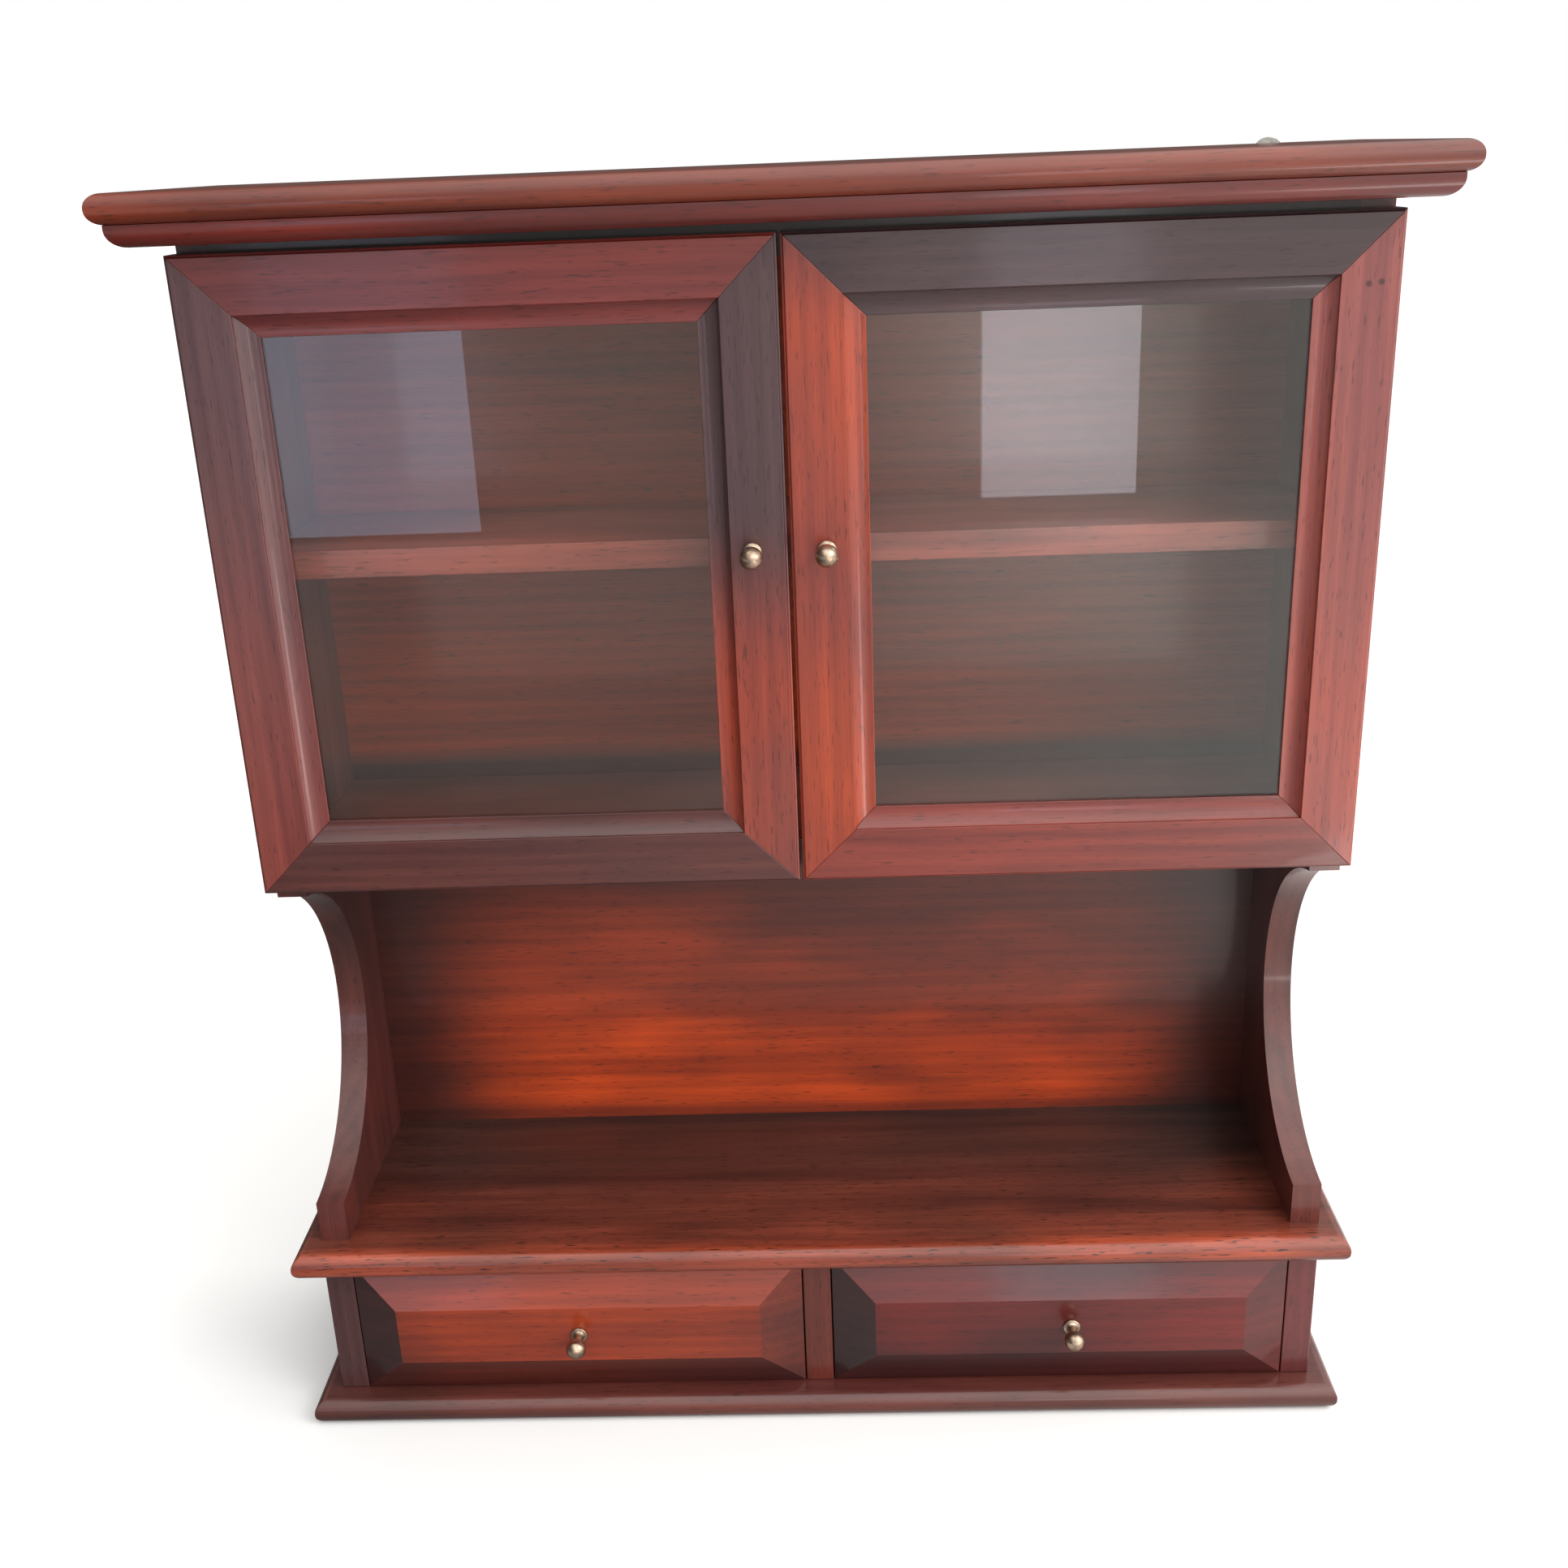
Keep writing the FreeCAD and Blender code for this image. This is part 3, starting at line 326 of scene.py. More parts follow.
def grown(tree, place, grain, number):
    """One board's figure, fibres, pores, stain blotches and lacquer waves, from 0 to 1."""
    in_log = add_node(tree, "ShaderNodeMapping",
                      {"Vector": place, "Rotation": GRAIN_TURN[grain]}).outputs[0]
    log = (0.071 * number, 0.113 * number + 0.05, 0.37 * number)
    board = vector_maths(tree, "ADD", in_log, log)

    def along_grain(stretch, source=board):
        """Coordinates drawn out along the grain."""
        return vector_maths(tree, "MULTIPLY", source, (1, 1, stretch))

    pith = (0.11 + 0.013 * (number % 5), 0.05 + 0.009 * (number % 3), 0)
    near_pith = vector_maths(tree, "ADD", in_log, pith)
    rings = add_node(tree, "ShaderNodeTexWave",
                     {"Vector": along_grain(RINGS_ALONG, near_pith),
                      "Scale": WAVE_PERIOD / RING_GAP, "Distortion": 7.0, "Detail": 2.0,
                      "Detail Scale": 0.3, "Phase Offset": 1.7 * number},
                     wave_type="RINGS", rings_direction="Z", wave_profile="SIN").outputs["Fac"]
    ribbons = remapped(tree, noise(tree, along_grain(RIBBONS_ALONG), RIBBON, 3.0, 0.6),
                       0.33, 0.67)
    figure = add_node(tree, "ShaderNodeMix", {0: RING_SHARE, 2: ribbons, 3: rings}).outputs[0]
    fibres = noise(tree, along_grain(FIBRES_ALONG), FIBRE)
    pores = noise(tree, along_grain(PORES_ALONG), PORE, 1.0)
    blotches = noise(tree, along_grain(BLOTCHES_ALONG), BLOTCH)
    waves = noise(tree, along_grain(WAVES_ALONG), WAVE, 1.0)
    return figure, fibres, pores, blotches, waves


print("rings", RING_GAP, "ribbons", RIBBON, "pores", PORE)

# %% How the stain and the painted shade lie
STAIN_DEPTH = 0.65          # how far a blotch can darken a board
PIN_RADIUS, PIN_BLUR = 0.8 * MM, 1.7 * MM
PIN_DEPTH = 0.75


def stain_and_painted_shade(tree, place, normal, blotches, fades, low, high):
    """From 0 where the stain lies thick or shade is painted, to 1 where the wood is bare and
    unshaded.
    """
    thick = remapped(tree, blotches, 0.42, 0.66)
    left = maths(tree, "MULTIPLY_ADD", thick, -STAIN_DEPTH, 1.0)
    part = add_node(tree, "ShaderNodeSeparateXYZ", {0: place}).outputs
    facing = add_node(tree, "ShaderNodeSeparateXYZ", {0: normal}).outputs
    # each fade darkens by the place on the board or by the way a face is turned; in the niche and
    # on the drawer bevels this is painted shade
    for axis, start, end, strength in fades:
        i = "xyz".index(axis[-1])
        turned_by = axis.startswith("faces")
        zero, span = (0, 1) if turned_by else (low[i], high[i] - low[i])
        ends = (1.0, 1.0 - strength) if strength > 0 else (0.0, -strength)
        fade = remapped(tree, (facing if turned_by else part)[i], zero + span * start,
                        zero + span * end, *ends, interpolation_type="SMOOTHSTEP")
        left = maths(tree, "MULTIPLY" if strength > 0 else "MAXIMUM", left, fade)
    return left


def pinned(tree, place, surface, pins, colour):
    """A surface colour with filled pin holes at (x, z) places, seen from the front."""
    for x, z in pins:
        beside = vector_maths(tree, "MULTIPLY", place, (1, 0, 1))
        apart = vector_maths(tree, "DISTANCE", beside, (x, 0, z))
        filler = remapped(tree, apart, PIN_RADIUS, PIN_BLUR, PIN_DEPTH, 0.0)
        surface = blended(tree, filler, surface, colour)
    return surface


print("stain darkens a board by", STAIN_DEPTH, "at most before its fades")

# %% The wood recipe
DIM, LIT = 0.28, 0.24       # how far the figure's bands darken and lighten the body colour
FIBRE_DIM, FIBRE_LIT = 0.11, 0.09
PORE_DEPTH = 0.45
LACQUER_IOR = 1.48
LACQUER_ROUGHNESS = 0.10


def wood(name, grain, light, dark, fades=(), low=(0, 0, 0), high=(1, 1, 1), contrast=1.0,
         rough=0.34, gloss=0.5, pore_colour="#1A0805", pins=()):
    """Wood with its grain along one axis, light where bare and dark where the fades lie.

    Each fade is (axis, start, end, strength): no darkening at the start and full at the end,
    as shares of the box from low to high; in the niche and on the drawer bevels it is painted
    shade. A negative strength lifts the tone back towards the light one.
    An axis with "faces" before it goes by the way that the surface faces, from -1 to 1.
    Pins are the (x, z) places of filled pin holes on the front.
    """
    material, tree, shader = new_material(name)
    coordinates = add_node(tree, "ShaderNodeTexCoord").outputs
    place = coordinates["Object"]
    figure, fibres, pores, blotches, waves = grown(tree, place, grain, next(board_numbers))
    left = stain_and_painted_shade(tree, place, coordinates["Normal"], blotches, fades, low, high)
    body = blended(tree, left, linear(dark), linear(light))

    # the bands darken and lighten the body colour, and light bands lean to orange
    dim, lit = 1 - DIM * contrast, 1 + LIT * contrast
    band = blended(tree, figure, (dim, dim * 0.93, dim * 0.95, 1),
                   (lit, lit * 1.02, lit * 0.88, 1))
    banded = blended(tree, 1.0, body, band, blend_type="MULTIPLY")
    thread = remapped(tree, fibres, 0.3, 0.7, 1 - FIBRE_DIM * contrast, 1 + FIBRE_LIT * contrast)
    threaded = vector_maths(tree, "MULTIPLY", banded, thread)
    pore_share = remapped(tree, pores, 0.62, 0.72, 0.0, PORE_DEPTH * contrast)
    surface = blended(tree, pore_share, threaded, linear(pore_colour))
    surface = pinned(tree, place, surface, pins, linear(pore_colour))
    tree.links.new(surface, shader.inputs["Base Color"])

    # lacquer: shinier where it pools, and it sinks a little into pores and fibres
    sheen = remapped(tree, blotches, 0.3, 0.7, rough - 0.06, rough + 0.08)
    tree.links.new(sheen, shader.inputs["Roughness"])
    grain_lift = add_node(tree, "ShaderNodeBump",
                          {"Height": fibres, "Strength": 0.12, "Distance": 0.25 * MM})
    pitted = add_node(tree, "ShaderNodeBump",
                      {"Height": pore_share, "Strength": 0.25, "Distance": 0.12 * MM,
                       "Normal": grain_lift.outputs[0]}, invert=True)
    tree.links.new(pitted.outputs[0], shader.inputs["Normal"])
    flow = add_node(tree, "ShaderNodeBump",
                    {"Height": waves, "Strength": 0.16, "Distance": 0.6 * MM})
    tree.links.new(flow.outputs[0], shader.inputs["Coat Normal"])
    shader.inputs["Coat Weight"].default_value = gloss
    shader.inputs["Coat Roughness"].default_value = LACQUER_ROUGHNESS
    shader.inputs["IOR"].default_value = LACQUER_IOR
    return material


print("bands from", 1 - DIM, "to", 1 + LIT, "of the body colour")

# %% [markdown]
# ## From CAD node to finished piece
#
# A CAD mesh is loose triangles with knife-sharp edges. Real boards are sanded, so every edge
# carries a small round that catches the light. A copy of the CAD mesh is welded, its flats are
# made whole again, and a Bevel modifier rounds the sharp edges. Weighted normals keep the big
# faces flat. The CAD mesh itself stays as it is and is only hidden.

# %% Welding, easing and finishing
WELD = 2e-6
SHARP = math.radians(30)
FLAT = math.radians(0.5)    # triangles that turn by less than this make up one flat
made_pieces = {}


def new_object(name, mesh):
    """An object for a mesh, in the scene and at the origin."""
    thing = bpy.data.objects.new(name, mesh)
    bpy.context.scene.collection.objects.link(thing)
    return thing


def welded(name, node, whole_flats=True):
    """A copy of a CAD node as one closed mesh, with its flats whole or left in triangles."""
    builder = bmesh.new()
    builder.from_mesh(frame["nodes"][node].data)
    bmesh.ops.remove_doubles(builder, verts=builder.verts, dist=WELD)
    if whole_flats:
        bmesh.ops.dissolve_limit(builder, angle_limit=FLAT, verts=builder.verts,
                                 edges=builder.edges)
    mesh = bpy.data.meshes.new(name)
    builder.to_mesh(mesh)
    builder.free()
    return new_object(name, mesh)


def eased(thing, ease, segments=3, sharp=SHARP):
    """Rounds a thing's sharp edges, runs its modifiers and leaves a plain smooth mesh."""
    if ease:
        bevel = thing.modifiers.new("eased edges", "BEVEL")
        bevel.width = ease
        bevel.segments = segments
        bevel.limit_method = "ANGLE"
        bevel.angle_limit = sharp
        bevel.use_clamp_overlap = True
    thing.modifiers.new("flat faces stay flat", "WEIGHTED_NORMAL").keep_sharp = True
    for polygon in thing.data.polygons:
        polygon.use_smooth = True
    graph = bpy.context.evaluated_depsgraph_get()
    result = bpy.data.meshes.new_from_object(thing.evaluated_get(graph), depsgraph=graph)
    thing.modifiers.clear()
    thing.data = result
    return thing


def finished(piece, node, material):
    """Paints a piece and puts it on its body in the place of its CAD node."""
    if material:
        piece.data.materials.clear()
        piece.data.materials.append(material)
    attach(piece, BODY_OF[node])
    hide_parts(node)
    made_pieces[node] = piece
    return piece


print("edges sharper than", round(math.degrees(SHARP)), "degrees are eased")

# %% [markdown]
# ## Boards of the case
#
# Boards are sawn, planed and glued up. Base, counter and cornice top have a half-round nose run
# along the front and ends with a router; the others are square. Their shapes are all in the CAD
# model already, so each is an eased copy. The table gives each board its grain, its light and
# dark tone and its fades. The back panel and the counter carry painted shade: darker in the
# niche's corners and towards its back and top, under the cabinet. The back panel's rear faces
# get an even tone again, without that painted shade.

# %% Boards
BOARD_EASE = 0.6 * MM
# painted shade: the back panel goes dark towards both ends, in the niche's corners
NICHE_END_SHADE = (("x", 0.22, 0.02, 0.93), ("x", 0.74, 0.98, 0.95))
BOARDS = {
    # node: grain, light, dark, fades
    "base_board": ("x", "#64312C", "#3C201C", ()),
    # the counter: painted shade, darker behind its nose and more so towards the back, under the
    # cabinet
    "counter_board": ("x", "#98422E", "#281D1C", (("y", 0.03, 0.1, 0.5), ("y", 0.18, 0.65, 0.75))),
    "cornice_top_board": ("x", "#742E1C", "#4A1C14", ()),
    "cornice_core": ("x", "#54281F", "#301611", ()),
    # the cabinet top shows only in the thin gap above the doors; its tones are darkened there as
    # painted shade for that gap
    "cabinet_top": ("x", "#3A1E18", "#22120E", ()),
    "cabinet_floor": ("x", "#6A332B", "#3A1C18", ()),
    "interior_shelf": ("x", "#A04A40", "#5A2822", ()),
    # the back panel: painted shade at both ends, along the bottom and towards the top of the
    # niche, lifted again higher up inside the cabinet; its rear faces get an even tone
    "back_panel": ("x", "#D04A18", "#33120F",
                   NICHE_END_SHADE + (("z", 0.03, 0.0, 0.6), ("z", 0.11, 0.35, 0.92),
                                ("z", 0.44, 0.47, -0.4),
                                ("y", 0.7, 0.95, 0.65), ("y", 0.7, 0.95, -0.3))),
    "drawer_case_back": ("x", "#7A3A2C", "#45201A", ()),
    "drawer_case_side_left": ("z", "#523234", "#2A191A", ()),
    "drawer_case_side_right": ("z", "#66282A", "#311314", ()),
    "drawer_divider": ("z", "#63271E", "#351510", ()),
    "side_panel_left": ("z", "#622F2C", "#301E1C", ()),
    "side_panel_right": ("z", "#622C26", "#180E0C", ()),
}
# the hanger recesses cut through this board's rear edge, where a whole flat would fold over
NOTCHED = ("cornice_core",)
STREAKY = {"counter_board": 2.0}     # a board with more contrast in its figure
for node, (grain, light, dark, fades) in BOARDS.items():
    low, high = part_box(node)
    stained = wood(f"stained mahogany, {node.replace('_', ' ')}", grain, light, dark, fades,
                   low, high, contrast=STREAKY.get(node, 1.0))
    copy = welded(f"{node}_wood", node, whole_flats=node not in NOTCHED)
    finished(eased(copy, BOARD_EASE), node, stained)
print(len(BOARDS), "boards")

# %% [markdown]
# ## Mouldings with mitred ends
#
# Door frames, glazing beads and the cornice moulding are long strips run through the same
# cutter and mitred at 45 degrees, where they meet along a fine line. All follow one rule: a
# profile, carried along a length, with its ends sheared by the profile's own width. A
# Geometry Nodes tree does that once for every strip, so a change of profile or length never
# breaks a corner.

# %% Helpers for Geometry Nodes trees
def new_tree(name, sockets, result):
    """A Geometry Nodes tree with the sockets given, and its input node's outputs."""
    tree = bpy.data.node_groups.new(name, "GeometryNodeTree")
    for socket, kind in sockets:
        tree.interface.new_socket(socket, in_out="INPUT", socket_type=f"NodeSocket{kind}")
    tree.interface.new_socket(result, in_out="OUTPUT", socket_type="NodeSocketGeometry")
    return tree, add_node(tree, "NodeGroupInput").outputs


def joined(tree, *parts):
    """The parts as one geometry."""
    joint = add_node(tree, "GeometryNodeJoinGeometry")
    for part in parts:
        tree.links.new(part, joint.inputs[0])
    return joint.outputs[0]


def delivered(tree, geometry, finish):
    """Makes a tree's result real, paints it and hands it out."""
    whole = add_node(tree, "GeometryNodeRealizeInstances", {0: geometry})
    painted = add_node(tree, "GeometryNodeSetMaterial",
                       {"Geometry": whole.outputs[0], "Material": finish})
    add_node(tree, "NodeGroupOutput", {0: painted.outputs[0]})


print("tree helpers ready")

# %% The mitred strip tree
strip_tree, given = new_tree("mitred strip", (("Profile", "Geometry"), ("Length", "Float"),
                                              ("Start mitre", "Float"), ("End mitre", "Float"),
                                              ("Finish", "Material")), "Strip")
reach = add_node(strip_tree, "ShaderNodeCombineXYZ", {"X": given["Length"]})
carried = add_node(strip_tree, "GeometryNodeExtrudeMesh",
                   {"Mesh": given["Profile"], "Offset": reach.outputs[0], "Offset Scale": 1.0,
                    "Individual": False}, mode="FACES")
near_end = add_node(strip_tree, "GeometryNodeFlipFaces", {"Mesh": given["Profile"]})
closed = add_node(strip_tree, "GeometryNodeMergeByDistance",
                  {"Geometry": joined(strip_tree, carried.outputs["Mesh"], near_end.outputs[0]),
                   "Distance": 0.01 * MM})
position = add_node(strip_tree, "GeometryNodeInputPosition").outputs[0]
point = add_node(strip_tree, "ShaderNodeSeparateXYZ", {0: position}).outputs
share = maths(strip_tree, "DIVIDE", point["X"], given["Length"])
start_cut = maths(strip_tree, "MULTIPLY", point["Y"], given["Start mitre"])
end_cut = maths(strip_tree, "MULTIPLY", point["Y"], given["End mitre"])
pulled = maths(strip_tree, "MULTIPLY", share, maths(strip_tree, "ADD", start_cut, end_cut))
slide = maths(strip_tree, "SUBTRACT", start_cut, pulled)
shift = add_node(strip_tree, "ShaderNodeCombineXYZ", {"X": slide})
mitred = add_node(strip_tree, "GeometryNodeSetPosition",
                  {"Geometry": closed.outputs[0], "Offset": shift.outputs[0]})
delivered(strip_tree, mitred.outputs[0], given["Finish"])
print("mitred strip tree:", len(strip_tree.nodes), "nodes")

# %% Profiles and running a strip
QUARTER_BOW = 1 - math.sqrt(0.5)     # a quarter round's bow, as a share of its radius


def arc(start, end, bow, steps=8):
    """Points after start, up to end, on an arc that stands a bow to the left of its chord."""
    start, end = Vector(start), Vector(end)
    chord = end - start
    half = chord.length / 2
    radius = (half ** 2 + bow ** 2) / (2 * bow)
    left = Vector((-chord.y, chord.x)).normalized()
    centre = (start + end) / 2 + left * (bow - radius)
    spread = math.asin(min(1.0, half / abs(radius))) * 2
    first = start - centre
    turn = -spread if bow > 0 else spread
    points = []
    for step in range(1, steps + 1):
        angle = turn * step / steps
        cos, sin = math.cos(angle), math.sin(angle)
        points.append((centre.x + first.x * cos - first.y * sin,
                       centre.y + first.x * sin + first.y * cos))
    return points


def set_inputs(thing, tree, values):
    """Puts a tree on an object and sets its named inputs by their sockets' identifiers."""
    modifier = thing.modifiers.new(tree.name, "NODES")
    modifier.node_group = tree
    identifiers = {item.name: item.identifier for item in tree.interface.items_tree
                   if item.in_out == "INPUT"}
    for name, value in values.items():
        modifier[identifiers[name]] = value
    return modifier


def strip(name, profile, origin, run, inward, length, mitres, material, ease):
    """A mitred strip whose profile is (inward, deep) points, run from an origin."""
    mesh = bpy.data.meshes.new(name)
    mesh.from_pydata([(0, inner, deep) for inner, deep in profile], [],
                     [tuple(range(len(profile)))])
    thing = new_object(name, mesh)
    set_inputs(thing, strip_tree, {"Length": length, "Start mitre": mitres[0],
                                   "End mitre": mitres[1], "Finish": material})
    eased(thing, ease, 2)
    run, inward = Vector(run), Vector(inward)
    turn = Matrix((run, inward, run.cross(inward))).transposed().to_4x4()
    turn.translation = origin
    thing.data.transform(turn)
    return thing


print("a quarter round in", len(arc((0, 0), (1, 1), 0.2)), "steps")

# %% [markdown]
# ## Door frames
#
# Each door is four strips mitred round the glass. The front carries a flat, then a small step,
# then a low round that leads the eye in to the glass; behind it a rebate holds the pane. The
# grain runs along each strip, so the tone jumps at every mitre. Some strips go from red to
# purple brown towards one end.

# %% Door frame profile
FRAME_FLAT = 24.5 * MM      # from the outer edge to the step
QUIRK = 1.3 * MM            # the step down to the lip
LIP_BOW = 1.3 * MM
LIP_DEEP = 5.5 * MM         # from the front face to the glass
LIP_EDGE = 0.9 * MM         # the small upright edge at the glass
REBATE = 8 * MM
EDGE_ROUND = 1.2 * MM
STRIP_EASE = 0.28 * MM

frame_low, frame_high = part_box("door_left_bottom_rail")
frame_wide = frame_high.z - frame_low.z
door_thick = frame_high.y - frame_low.y
quirk_foot, lip_top = (FRAME_FLAT, QUIRK), (frame_wide, LIP_DEEP - LIP_EDGE)
FRAME_PROFILE = ([(0, EDGE_ROUND)]
                 + arc((0, EDGE_ROUND), (EDGE_ROUND, 0), EDGE_ROUND * QUARTER_BOW, 4)
                 + [(FRAME_FLAT, 0), quirk_foot] + arc(quirk_foot, lip_top, LIP_BOW, 10)
                 + [(frame_wide, LIP_DEEP), (frame_wide - REBATE, LIP_DEEP),
                    (frame_wide - REBATE, door_thick), (0, door_thick)])
print("door frame strip", round(frame_wide, 4), "by", round(door_thick, 4), "m")

# %% Door frames
DOOR_TONES = {
    # node: light, dark, fades
    "door_left_top_rail": ("#7A2E29", "#5D272B", (("x", 0.75, 0.0, 0.6),)),
    "door_left_bottom_rail": ("#552B29", "#362527", ()),
    "door_left_outer_stile": ("#793835", "#55393E", (("z", 0.1, 0.85, 0.95),)),
    "door_left_inner_stile": ("#973B29", "#4A3237", (("z", 0.3, 0.62, 1.0),)),
    "door_right_top_rail": ("#42292E", "#2E2026", ()),
    "door_right_bottom_rail": ("#7A3029", "#52211D", ()),
    "door_right_outer_stile": ("#953D2E", "#824647", (("z", 0.4, 1.0, 0.5),)),
    "door_right_inner_stile": ("#A03C1E", "#5A282E", (("z", 0.85, 1.0, 0.6),)),
}
# the places of filled pin holes, x and z
PIN_HOLES = {"door_right_outer_stile": ((0.2366, 0.551), (0.2416, 0.5516))}


def four_sides(low, high):
    """Origin, run, inward and length of the strips at the bottom, top, left and right."""
    wide, tall = high.x - low.x, high.z - low.z
    return (((high.x, low.y, low.z), (-1, 0, 0), (0, 0, 1), wide),
            ((low.x, low.y, high.z), (1, 0, 0), (0, 0, -1), wide),
            ((low.x, low.y, low.z), (0, 0, 1), (1, 0, 0), tall),
            ((high.x, low.y, high.z), (0, 0, -1), (-1, 0, 0), tall))


for side, stiles in (("left", ("outer_stile", "inner_stile")),
                     ("right", ("inner_stile", "outer_stile"))):
    low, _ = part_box(f"door_{side}_bottom_rail")
    _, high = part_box(f"door_{side}_top_rail")
    for part_name, (origin, run, inward, length) in zip(("bottom_rail", "top_rail") + stiles,
                                                        four_sides(low, high)):
        node = f"door_{side}_{part_name}"
        light, dark, fades = DOOR_TONES[node]
        stained = wood(f"stained mahogany, {node.replace('_', ' ')}",
                       "x" if part_name.endswith("rail") else "z", light, dark, fades,
                       *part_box(node), pins=PIN_HOLES.get(node, ()))
        piece = strip(f"{node}_wood", FRAME_PROFILE, origin, run, inward, length, (1, 1),
                      stained, STRIP_EASE)
        finished(piece, node, stained)
print("door frames:", len(DOOR_TONES), "strips")

# %% [markdown]
# ## Cornice moulding
#
# Under the cornice top runs a quarter round with a short upright fillet above it, mitred at the
# two front corners and cut square at the back. It is the same tree with another profile: the
# strips now run round the outside, so their width is counted inwards from the outer edge.

# %% Cornice moulding
MOULDING_ROUND = 7 * MM
(front_low, front_high), (left_low, left_high) = (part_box(f"cornice_moulding_{n}")
                                                  for n in ("front", "left"))
moulding_reach = left_high.x - left_low.x
moulding_high = front_high.z - front_low.z
round_foot, round_top = (MOULDING_ROUND, 0), (0, MOULDING_ROUND)
MOULDING_PROFILE = ([(0, moulding_high), round_top]
                    + arc(round_top, round_foot, -MOULDING_ROUND * QUARTER_BOW, 10)
                    + [(moulding_reach, 0), (moulding_reach, moulding_high)])
corner_left = Vector((front_low.x, front_low.y, front_low.z))
corner_right = Vector((front_high.x, front_low.y, front_low.z))
back_left = Vector((front_low.x, left_high.y, front_low.z))
MOULDINGS = {
    "front": (corner_left, (1, 0, 0), (0, 1, 0), front_high.x - front_low.x, (1, 1), "x"),
    "left": (back_left, (0, -1, 0), (1, 0, 0), left_high.y - front_low.y, (0, 1), "y"),
    "right": (corner_right, (0, 1, 0), (-1, 0, 0), left_high.y - front_low.y, (1, 0), "y"),
}
for name, (origin, run, inward, length, mitres, grain) in MOULDINGS.items():
    node = f"cornice_moulding_{name}"
    stained = wood(f"stained mahogany, cornice moulding {name}", grain, "#6F221B", "#41120E")
    piece = strip(f"{node}_wood", MOULDING_PROFILE, origin, run, inward, length, mitres,
                  stained, STRIP_EASE)
    finished(piece, node, stained)
print("cornice moulding stands out", round(moulding_reach, 4), "m")

# %% [markdown]
# ## Glazing beads
#
# Behind each pane a thin quarter-round bead, pinned into the rebate, keeps the glass in. The
# four beads of a door are one piece here, because they share one CAD node.

# %% Glazing beads
BEAD_ROUND = 3 * MM
BEAD_WIDE = 6 * MM
BEAD_EASE = 0.2 * MM
BEAD_JOINT = 0.03 * MM      # a bead's ends in from the mitre line, so that each stays closed
for side in ("left", "right"):
    node = f"door_{side}_glazing_beads"
    low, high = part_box(node)
    bead_deep = high.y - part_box(f"door_{side}_glass")[1].y
    foot, tip = (BEAD_WIDE, bead_deep - BEAD_ROUND), (BEAD_WIDE - BEAD_ROUND, bead_deep)
    profile = ([(0, 0), (BEAD_WIDE, 0), foot] + arc(foot, tip, -BEAD_ROUND * QUARTER_BOW, 5)
               + [(0, bead_deep)])
    stained = wood(f"stained mahogany, glazing beads {side}", "z", "#6A342C", "#3E1E1A")
    builder = bmesh.new()
    for origin, run, inward, length in four_sides(low, high):
        bead = strip("bead", profile, Vector(origin) + BEAD_JOINT * Vector(run), run, inward,
                     length - 2 * BEAD_JOINT, (1, 1), stained, BEAD_EASE)
        builder.from_mesh(bead.data)
        bpy.data.objects.remove(bead)
    mesh = bpy.data.meshes.new(f"{node}_wood")
    builder.to_mesh(mesh)
    builder.free()
    finished(new_object(f"{node}_wood", mesh), node, stained)
print("beads are", round(bead_deep, 4), "m deep")

# %% [markdown]
# ## Drawers
#
# The drawer fronts are solid boards whose raised field is cut with a wide bevel on all four
# sides, a cabinetmaker's way to lighten a thick front. The boxes behind are pale, plain wood
# with a thin plywood bottom, because only the front is meant to be seen.

# %% Drawer fronts
FRONT_EASE = 0.5 * MM
FIELD_CREASE = math.radians(12)     # the bevels meet the field at a shallow, crisp angle
# the end bevels are end grain and take the stain darker; the bevels turned left and down are
# darkened further as painted shade, and the front goes darker towards its left end
FRONT_END_GRAIN_AND_SHADE = (("faces x", -0.1, -0.3, 0.93), ("faces x", 0.1, 0.3, 0.45),
               ("faces z", -0.1, -0.3, 0.72), ("x", 0.25, 0.06, 0.3))
FRONT_TONES = {"left": ("#96361A", "#2A1216"), "right": ("#6C1712", "#2A1216")}
for side, (light, dark) in FRONT_TONES.items():
    node = f"drawer_{side}_front"
    stained = wood(f"stained mahogany, drawer front {side}", "x", light, dark, FRONT_END_GRAIN_AND_SHADE,
                   *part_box(node))
    front = eased(welded(f"{node}_wood", node), FRONT_EASE, sharp=FIELD_CREASE)
    finished(front, node, stained)
print(len(FRONT_TONES), "drawer fronts")

# %% Drawer boxes
BOX_EASE, PLY_EASE = 0.5 * MM, 0.2 * MM
for side in ("left", "right"):
    for part_name, grain in (("side_left", "y"), ("side_right", "y"), ("back", "x")):
        node = f"drawer_{side}_{part_name}"
        pale = wood(f"pale planed hardwood, {node.replace('_', ' ')}", grain, "#C9A77C",
                    "#A98458", contrast=0.35, rough=0.55, gloss=0.05, pore_colour="#7A5A38")
        finished(eased(welded(f"{node}_wood", node), BOX_EASE), node, pale)
    node = f"drawer_{side}_bottom"
    veneer = wood(f"birch plywood, drawer bottom {side}", "x", "#D0AF82", "#B08E60",
                  contrast=0.3, rough=0.6, gloss=0.0, pore_colour="#8A6A45")
    finished(eased(welded(f"{node}_wood", node), PLY_EASE), node, veneer)
print("drawers done")

# %% [markdown]
# ## Window glass
#
# The panes are 2 mm float glass: flat, very slightly green, with the faint film of handling.
# Clear glass in a path tracer would keep light out of the cabinet, so rays from lamps pass
# straight through it, as they nearly do in life.

